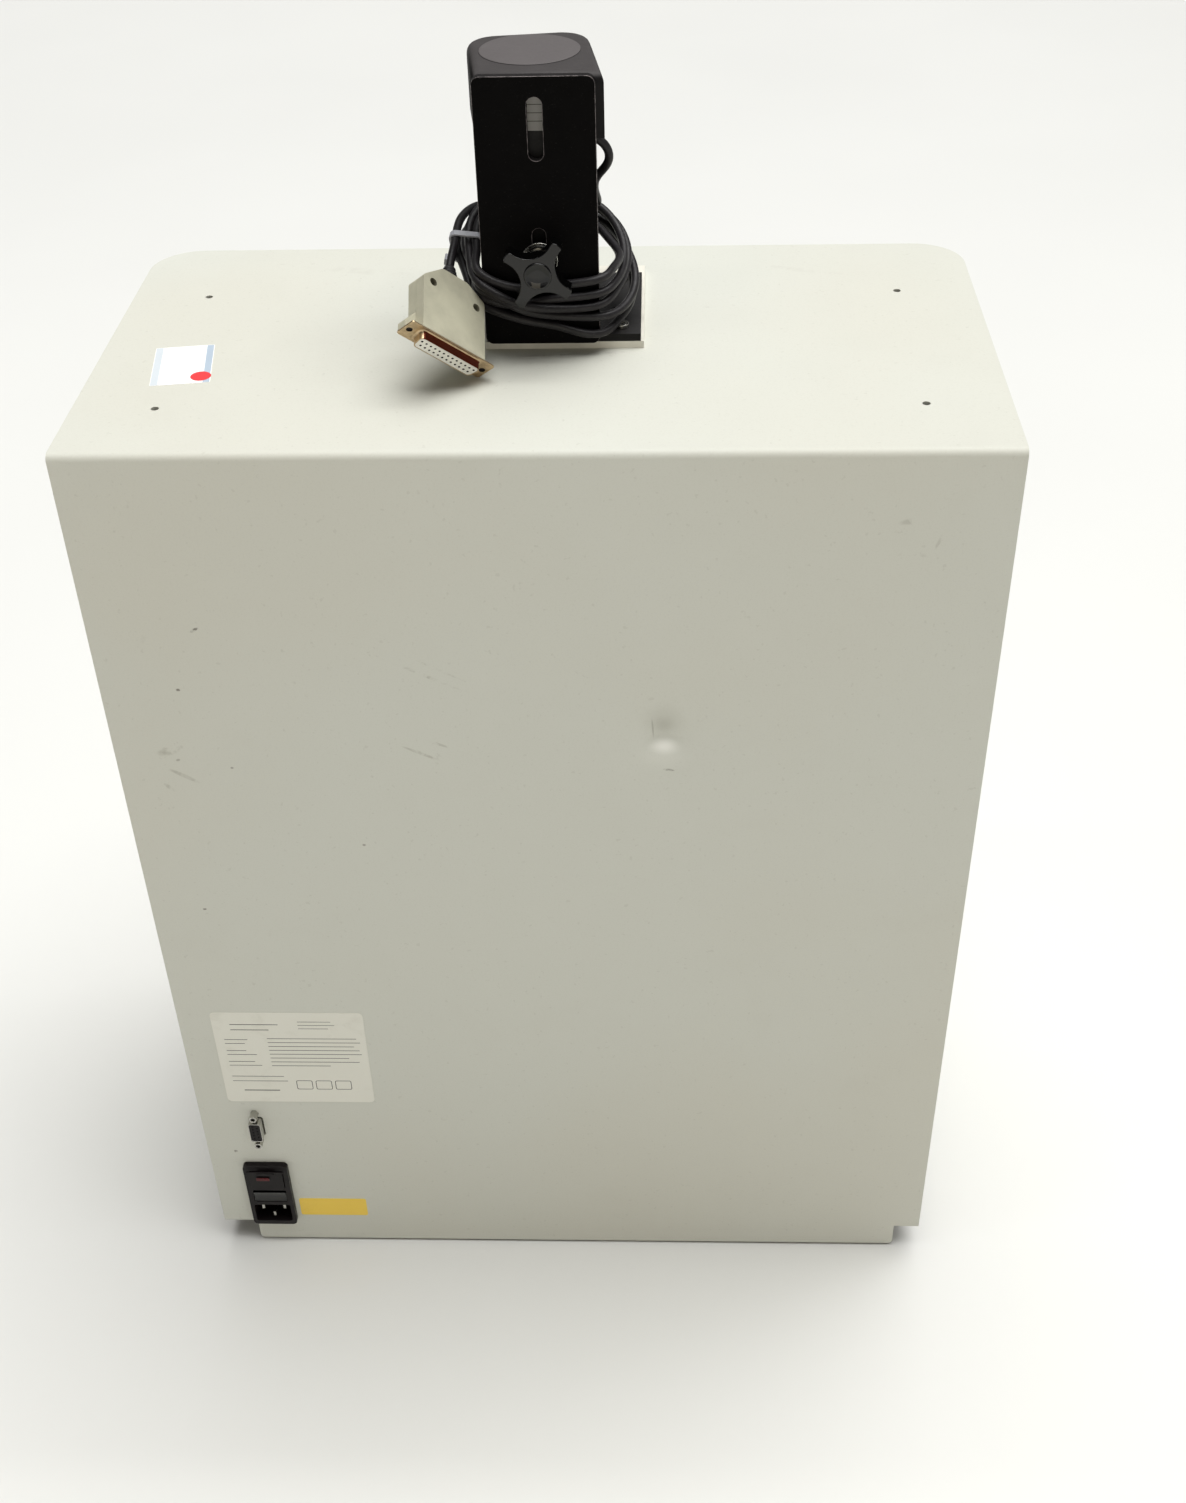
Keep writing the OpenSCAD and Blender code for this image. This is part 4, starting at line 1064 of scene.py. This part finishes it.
bevel(cover_a, 0.00045, 2)
cover_b = slab("plug_cover_half_b", half, 5.5, [M["plastic_beige"]], PS, w0=-0.1)
bevel(cover_b, 0.00045, 2)
cover_e = slab("plug_cover_ears", ears, 5.4, [M["plastic_beige"]], PS, w0=-0.15)
bevel(cover_e, 0.0005, 2)
# a darker sheet between the cover halves: painted shade in the seam
core = slab("plug_seam", seam, 0.6, [M["beige_dark"]], PS, w0=0.3, smooth=False)
cover_a.name = "plug_cover"
for o in (cover_a, cover_b, cover_e, core):
    own(o, "camera_head", "plastic_beige", "plug_backshell")


def plug_screw(name, x, z, tilt):
    head = lathe(name, [(0, 0.55), (0.9, 0.5), (1.5, 0.28), (1.75, 0.0), (1.75, -0.5), (0, -0.5)], 24, [M["nickel"]],
                 PLUG @ frame4(UP @ rot_z(0), (x, 2.9, z)))
    # the screw slot drawn as a flat dark strip: painted shade
    slot_shade_strip = slab(name + "_slot", rect(0, 0, 3.1, 0.55), 0.02, [M["beige_dark"]],
                  PLUG @ frame4(UP @ rot_z(tilt), (x, 2.9, z)), w0=0.57, smooth=False)
    return own(join(name, [head, slot_shade_strip]), "camera_head", "nickel")


cover_screws = [plug_screw("plug_screw_a", -13.2, -30.5, 35), plug_screw("plug_screw_b", 15.0, -30.2, -20)]

# strain relief: a ribbed black bush round the lead
bush_prof = [(2.2, -41.6), (4.4, -41.6), (4.4, -43.2), (3.5, -43.5), (3.5, -44.2), (3.95, -44.4), (3.95, -45.2), (3.3, -45.5),
             (3.3, -46.1), (3.65, -46.3), (3.65, -47.1), (3.05, -47.4), (3.05, -48.0), (3.3, -48.2), (3.25, -49.3), (2.9, -50.0), (2.2, -50.0)]
bush = lathe("plug_bush", bush_prof, 32, [M["rubber_black"]], PLUG @ Matrix.Translation((2, 0, 0)), close=True)
own(bush, "camera_head", "rubber_black")

# chromated flange with the D-shaped shell
# the ear holes are blind, their walls and floors painted dark as shade
fl = slab("flange", rounded(rect(0, 0, 53, 12.5), 1.3, 4), 0.8, [M["brass"], M["dark_hole"]], PLUG, w0=0.0,
          holes=[(circle(-23.52, 0, 1.6, 24), 0.75, 1), (circle(23.52, 0, 1.6, 24), 0.75, 1)])
D_OUT = [(-19.3, 4.2), (-18.0, -4.2), (18.0, -4.2), (19.3, 4.2)]
D_IN = [(-18.85, 3.8), (-17.6, -3.8), (17.6, -3.8), (18.85, 3.8)]
d_out = rounded(D_OUT, 2.4, 6)
d_in = rounded(D_IN, 2.0, 6)
shell_bm = bmesh.new()
n = len(d_out)
flare = [(1 + 0.9 / max(1.0, math.hypot(x, y)), 0.0) for x, y in d_out]
rows = []
for off, w in ((1.1, 0.0), (0.45, 0.25), (0.1, 0.8), (0.0, 1.5), (0.0, 4.0), (-0.12, 4.3)):
    ring = []
    for x, y in d_out:
        l = math.hypot(x * 0.25, y) or 1.0
        ring.append(shell_bm.verts.new((x + math.copysign(min(abs(x) / 19.0, 1.0) * off, x), y + off * y / 4.2, w)))
    rows.append(ring)
for w in (4.3, 0.2):
    rows.append([shell_bm.verts.new((x, y, w)) for x, y in d_in])
for a, b in zip(rows, rows[1:]):
    for i in range(n):
        j = (i + 1) % n
        f = shell_bm.faces.new([a[i], b[i], b[j], a[j]])
        mid = (a[i].co.y + a[j].co.y) / 2
        # painted dark reflection: the shell's faces on its upper side take the darker brass
        if mid > 3.6 and abs((a[i].co.x + a[j].co.x) / 2) < 18.0 and a is not rows[0] and b is not rows[-1]:
            f.material_index = 1
dshell = place(from_bm("dshell", shell_bm, [M["brass"], M["brass_shade"]]), PLUG)
flange = join("plug_flange", [fl, dshell])
bevel(flange, 0.00012, 2, angle=40)
own(flange, "camera_head", "brass", "plug_shell")

# socket holes with walls and floors painted dark as shade
sockets = []
for i in range(13):
    sockets.append((circle((i - 6) * 2.77, 1.42, 0.62, 12), 2.2, 1))
for i in range(12):
    sockets.append((circle((i - 5.5) * 2.77, -1.42, 0.62, 12), 2.2, 1))
block = slab("plug_block", rounded([(-18.6, 3.6), (-17.5, -3.6), (17.5, -3.6), (18.6, 3.6)], 1.9, 6), 5.4,
             [M["plastic_white"], M["dark_hole"]], PLUG, holes=sockets, w0=4.2, smooth=False)
own(block, "camera_head", "plastic_white", "plug_insulator")


# ------------------------------------------------------------------ cable tie round the coil
def crossings(y0):
    """where the lead passes the plane y = y0 of the coil's own axes, on its left side"""
    q = (lead_pts - COIL_O) @ COIL_R
    out = []
    for i in range(len(q) - 1):
        if (q[i, 1] - y0) * (q[i + 1, 1] - y0) <= 0 and q[i, 0] < -30:
            k = (y0 - q[i, 1]) / ((q[i + 1, 1] - q[i, 1]) or 1e-9)
            p = q[i] + (q[i + 1] - q[i]) * k
            out.append((p[0], p[2]))
    return out


def hull(pts):
    pts = sorted(set((round(x, 4), round(y, 4)) for x, y in pts))

    def half_hull(seq):
        h = []
        for p in seq:
            while len(h) > 1 and (h[-1][0] - h[-2][0]) * (p[1] - h[-2][1]) - (h[-1][1] - h[-2][1]) * (p[0] - h[-2][0]) <= 0:
                h.pop()
            h.append(p)
        return h[:-1]
    return half_hull(pts) + half_hull(pts[::-1])


TIE_Y = -2.0
cross = crossings(TIE_Y)
inner = hull([q for c in cross for q in circle(c[0], c[1], LEAD_D / 2 + 0.15, 28)])
outer = hull([q for c in cross for q in circle(c[0], c[1], LEAD_D / 2 + 1.15, 28)])
COIL = frame4(COIL_R, COIL_O)
COIL_XZ = COIL @ Matrix(((1, 0, 0, 0), (0, 0, -1, 0), (0, 1, 0, 0), (0, 0, 0, 1)))     # u = x, v = z, w = -y
band = slab("band", outer, 3.4, [M["tie_clear"]], COIL_XZ, holes=[(inner, None, 0)], w0=-(TIE_Y - 1.7))
lx = min(q[0] for q in outer)
lz = min(q[1] for q in outer)
head = slab("head", rounded(rect(lx + 1.2, lz - 0.4, 4.6, 4.0), 0.7, 3), 4.4, [M["tie_clear"]], COIL_XZ, w0=-(TIE_Y - 2.2))
strip = [(lx + 0.6 - 1.2 * math.sin(a * 1.5), lz - 2.0 - 6.5 * a) for a in (0, 0.15, 0.3, 0.45, 0.6, 0.75, 0.9, 1.0)]
outl = [(x - 0.5, z) for x, z in strip] + [(x + 0.5, z) for x, z in strip[::-1]]
tail_strip = slab("tail_strip", outl, 3.0, [M["tie_clear"]], COIL_XZ, w0=-(TIE_Y - 1.5))
tie = join("tie", [band, head, tail_strip])
bevel(tie, 0.0003, 2)
own(tie, "camera_head", "plastic_white", "cable_tie")

# ------------------------------------------------------------------ star knob
KZ = T + 49.5
KNOB = frame4([[1, 0, 0], [0, 0, -1], [0, 1, 0]], (0, 0, KZ))     # u = x, v = z, w = -y


def arc3(a, v, b, n):
    """points on the circle through a, v and b"""
    ax, ay, bx, by, cx, cy = *a, *v, *b
    d = 2 * (ax * (by - cy) + bx * (cy - ay) + cx * (ay - by))
    ux = ((ax * ax + ay * ay) * (by - cy) + (bx * bx + by * by) * (cy - ay) + (cx * cx + cy * cy) * (ay - by)) / d
    uy = ((ax * ax + ay * ay) * (cx - bx) + (bx * bx + by * by) * (ax - cx) + (cx * cx + cy * cy) * (bx - ax)) / d
    r = math.hypot(ax - ux, ay - uy)
    t0, t1 = math.atan2(ay - uy, ax - ux), math.atan2(cy - uy, cx - ux)
    dt = t1 - t0
    while dt > math.pi:
        dt -= 2 * math.pi
    while dt < -math.pi:
        dt += 2 * math.pi
    return [(ux + r * math.cos(t0 + dt * i / n), uy + r * math.sin(t0 + dt * i / n)) for i in range(n + 1)]


def polar(r, deg):
    return (r * math.cos(math.radians(deg)), r * math.sin(math.radians(deg)))


star = []
for k in range(4):
    th = 57 + 90 * k
    star += [polar(17.2, th - 9.6), polar(18.1, th - 7.4), polar(18.4, th - 3.0), polar(18.4, th + 3.0), polar(18.1, th + 7.4)]
    star += arc3(polar(17.2, th + 9.6), polar(8.9, th + 45), polar(17.2, th + 80.4), 16)[:-1]
knob_plate = slab("knob_plate", star, 9.0, [M["plastic_gloss"]], KNOB, w0=54.0)
bevel(knob_plate, 0.0022, 6, angle=40)
knob_plate.name = "star_knob"
own(knob_plate, "knob", "plastic_gloss", "clamp_knob")
cap = lathe("knob_cap", [(0, 54.15), (3.0, 54.2), (5.1, 54.45), (5.75, 54.85), (6.15, 54.95), (6.55, 54.8), (6.8, 54.3), (6.9, 53.5), (0, 53.5)],
            48, [M["plastic_gloss"]], KNOB)
own(cap, "knob", "plastic_gloss")
boss = lathe("knob_boss", [(0, 46.5), (6.6, 46.5), (7.2, 45.4), (7.4, 42.0), (7.4, 37.0), (6.9, 35.3), (3.1, 35.2), (3.1, 29.0), (0, 29.0)],
             40, [M["plastic_gloss"]], KNOB)
own(boss, "knob", "plastic_gloss", "clamp_knob")

# ------------------------------------------------------------------ labels, all without lettering
def rear_plate(name, cx, cz, w, h, r, mat, thick=0.25, lift=0.0):
    return slab(name, rect(cx, cz, w, h, r), thick, [mat], frame4(REAR, (0, YR, 0)), w0=thick + lift, smooth=False)


LX, LZ = -162.9, 176.8
parts = [rear_plate("l0", LX, LZ, 91.6, 78.6, 3.0, M["label_light"])]
rule = 0
for z, x0, x1, th in ((206.0, -35, -6, 0.5), (201.5, -35, -12, 0.5), (208.5, 6, 26, 0.35), (205.6, 6, 28, 0.35), (202.7, 6, 24, 0.35),
                      (194.0, -14, 40, 0.4), (190.6, -14, 42, 0.4), (187.2, -14, 38, 0.4), (183.8, -14, 41, 0.4), (180.4, -14, 42, 0.4),
                      (177.0, -14, 34, 0.4), (173.6, -14, 40, 0.4), (170.2, -14, 22, 0.4), (193.0, -40, -26, 0.4), (189.6, -40, -28, 0.4),
                      (183.4, -40, -28, 0.4), (180.0, -40, -22, 0.4), (173.8, -40, -24, 0.4), (170.4, -40, -20, 0.4),
                      (160.6, -40, -8, 0.4), (156.4, -40, -6, 0.4), (148.0, -34, -12, 0.7)):
    parts.append(rear_plate("l%d" % (rule + 1), LX + (x0 + x1) / 2, z, x1 - x0, th, 0, M["label_ink"], 0.03, 0.25))
    rule += 1
for cx in (4.0, 16.0, 28.0):
    frm = rect(LX + cx, 153.0, 10.0, 8.0, 1.2)
    hole = rect(LX + cx, 153.0, 9.2, 7.2, 0.9)
    parts.append(slab("b%d" % cx, frm, 0.03, [M["label_ink"]], frame4(REAR, (0, YR, 0)), holes=[(hole, None, 0)], w0=0.28, smooth=False))
big = join("rear_label", parts)
own(big, "cabinet", "label_light", "plain_labels")
yellow = rear_plate("rear_label_yellow", -154.4, 34.6, 44.0, 16.6, 1.5, M["label_yellow"])
own(yellow, "cabinet", "label_light", "plain_labels")

a8 = math.radians(8)
STICK = frame4([[math.cos(a8), -math.sin(a8), 0], [math.sin(a8), math.cos(a8), 0], [0, 0, 1]], (-183.5, -44.5, T))
parts = [slab("s0", rect(0, 0, 30, 44, 0.6), 0.2, [M["sticker_white"]], STICK, w0=0.2, smooth=False),
         slab("s1", rect(-12.9, 0, 3.6, 43.4), 0.02, [M["sticker_grey"]], STICK, w0=0.22, smooth=False),
         slab("s2", rect(13.0, 0, 3.4, 43.4), 0.02, [M["sticker_blue"]], STICK, w0=0.22, smooth=False),
         slab("s3", circle(10.0, -14.6, 5.2, 40), 0.06, [M["dot_red"]], STICK, w0=0.27, smooth=False)]
sticker = join("roof_sticker", parts)
own(sticker, "cabinet", "label_light", "plain_labels")

CL = frame4(REAR, (0, -27.9, 0))
parts = [slab("c0", rect(0, T + 121, 30, 20, 0.6), 0.2, [M["cam_label"]], CL, w0=0.2, smooth=False)]
for k, z in enumerate((127.2, 123.3, 119.4, 115.5)):
    parts.append(slab("c%d" % (k + 1), rect(0, T + z, 24, 0.4), 0.02, [M["label_ink"]], CL, w0=0.22, smooth=False))
cam_plate = join("camera_plate", parts)
own(cam_plate, "camera_head", "label_light", "camera_label")

# ------------------------------------------------------------------ small things on the mains inlet
IX, IZ = -193.7, 49.9
RP = frame4(REAR, (0, YR, 0))
parts = [slab("i1", rect(IX - 2.0, IZ + 18.4, 8.4, 2.6, 0.4), 0.5, [M["lens_red"]], RP, w0=5.6),
         slab("i2", rect(IX, IZ + 25.2, 24.5, 0.9, 0.3), 0.7, [M["plastic_black"]], RP, w0=5.7)]
trim = join("inlet_trim", parts)
bevel(trim, 0.00015, 1)
own(trim, "cabinet", "plastic_black")

# a short sleeve where the lead leaves the camera
sleeve = lathe("lead_sleeve", [(2.2, 0), (3.9, 0), (3.9, 1.0), (3.2, 1.3), (3.2, 2.0), (3.4, 2.2), (3.3, 3.6), (3.0, 4.4), (2.2, 4.4)], 28,
               [M["rubber_black"]], frame4([[0, 0, 1], [1, 0, 0], [0, 1, 0]], (21.0, -12.0, T + 104.0)), close=True)
own(sleeve, "camera_head", "rubber_black")

# ------------------------------------------------------------------ stage and light
floor_m = Mat("floor_v")
floor_m.set(color=floor_m.mix(floor_m.smooth(floor_m.noise(1.2, 3), 0.3, 0.7), lin(226, 226, 223), lin(223, 223, 220)),
            rough=0.8, spec=0.1)
bm = bmesh.new()
bmesh.ops.create_grid(bm, x_segments=8, y_segments=8, size=9.0)
floor = from_bm("floor", bm, floor_m.m, smooth=False)

scene.view_settings.view_transform = "Standard"
world = bpy.data.worlds.new("studio")
scene.world = world
world.use_nodes = True
bg = world.node_tree.nodes["Background"]
bg.inputs[0].default_value = (1.0, 0.99, 0.96, 1.0)
bg.inputs[1].default_value = 1.0
wt = world.node_tree
wc = wt.nodes.new("ShaderNodeTexCoord")
wx = wt.nodes.new("ShaderNodeSeparateXYZ")
wt.links.new(wc.outputs["Generated"], wx.inputs[0])
wr = wt.nodes.new("ShaderNodeMapRange")
wr.interpolation_type = "SMOOTHSTEP"
wr.inputs["From Min"].default_value = 0.02
wr.inputs["From Max"].default_value = 0.30
wr.inputs["To Min"].default_value = 0.50
wr.inputs["To Max"].default_value = 0.10
wt.links.new(wx.outputs["Z"], wr.inputs["Value"])
wt.links.new(wr.outputs[0], bg.inputs[1])


def area(name, loc, target, size, power, color=(1, 1, 1), size_y=None):
    d = bpy.data.lights.new(name, "AREA")
    d.shape = "RECTANGLE"
    d.size = size
    d.size_y = size_y or size
    d.energy = power
    d.color = color
    o = bpy.data.objects.new(name, d)
    scene.collection.objects.link(o)
    o.location = loc
    o.rotation_euler = (Vector(target) - Vector(loc)).to_track_quat("-Z", "Y").to_euler()
    return o


sun_d = bpy.data.lights.new("sky_panel", "SUN")
sun_d.energy = 3.42
sun_d.angle = 1.05
sun_d.color = (1.0, 1.0, 0.99)
sun = bpy.data.objects.new("sky_panel", sun_d)
scene.collection.objects.link(sun)
sun.location = (0.1, 0.6, 3.0)
sun.rotation_euler = Vector((-0.22, -0.14, -1.0)).to_track_quat("-Z", "Y").to_euler()
area("tube_a", (-0.35, -0.42, 2.3), (-0.35, -0.42, 0), 1.7, 4.6, (1, 1, 0.99), 0.08)
area("tube_b", (0.55, 0.35, 2.3), (0.55, 0.35, 0), 1.7, 6.0, (1, 1, 0.99), 0.08)
area("rear_fill", (0.1, -1.75, 0.80), (0, 0, 0.02), 0.9, 3.4, (1.0, 0.90, 0.70))

bpy.context.view_layer.update()
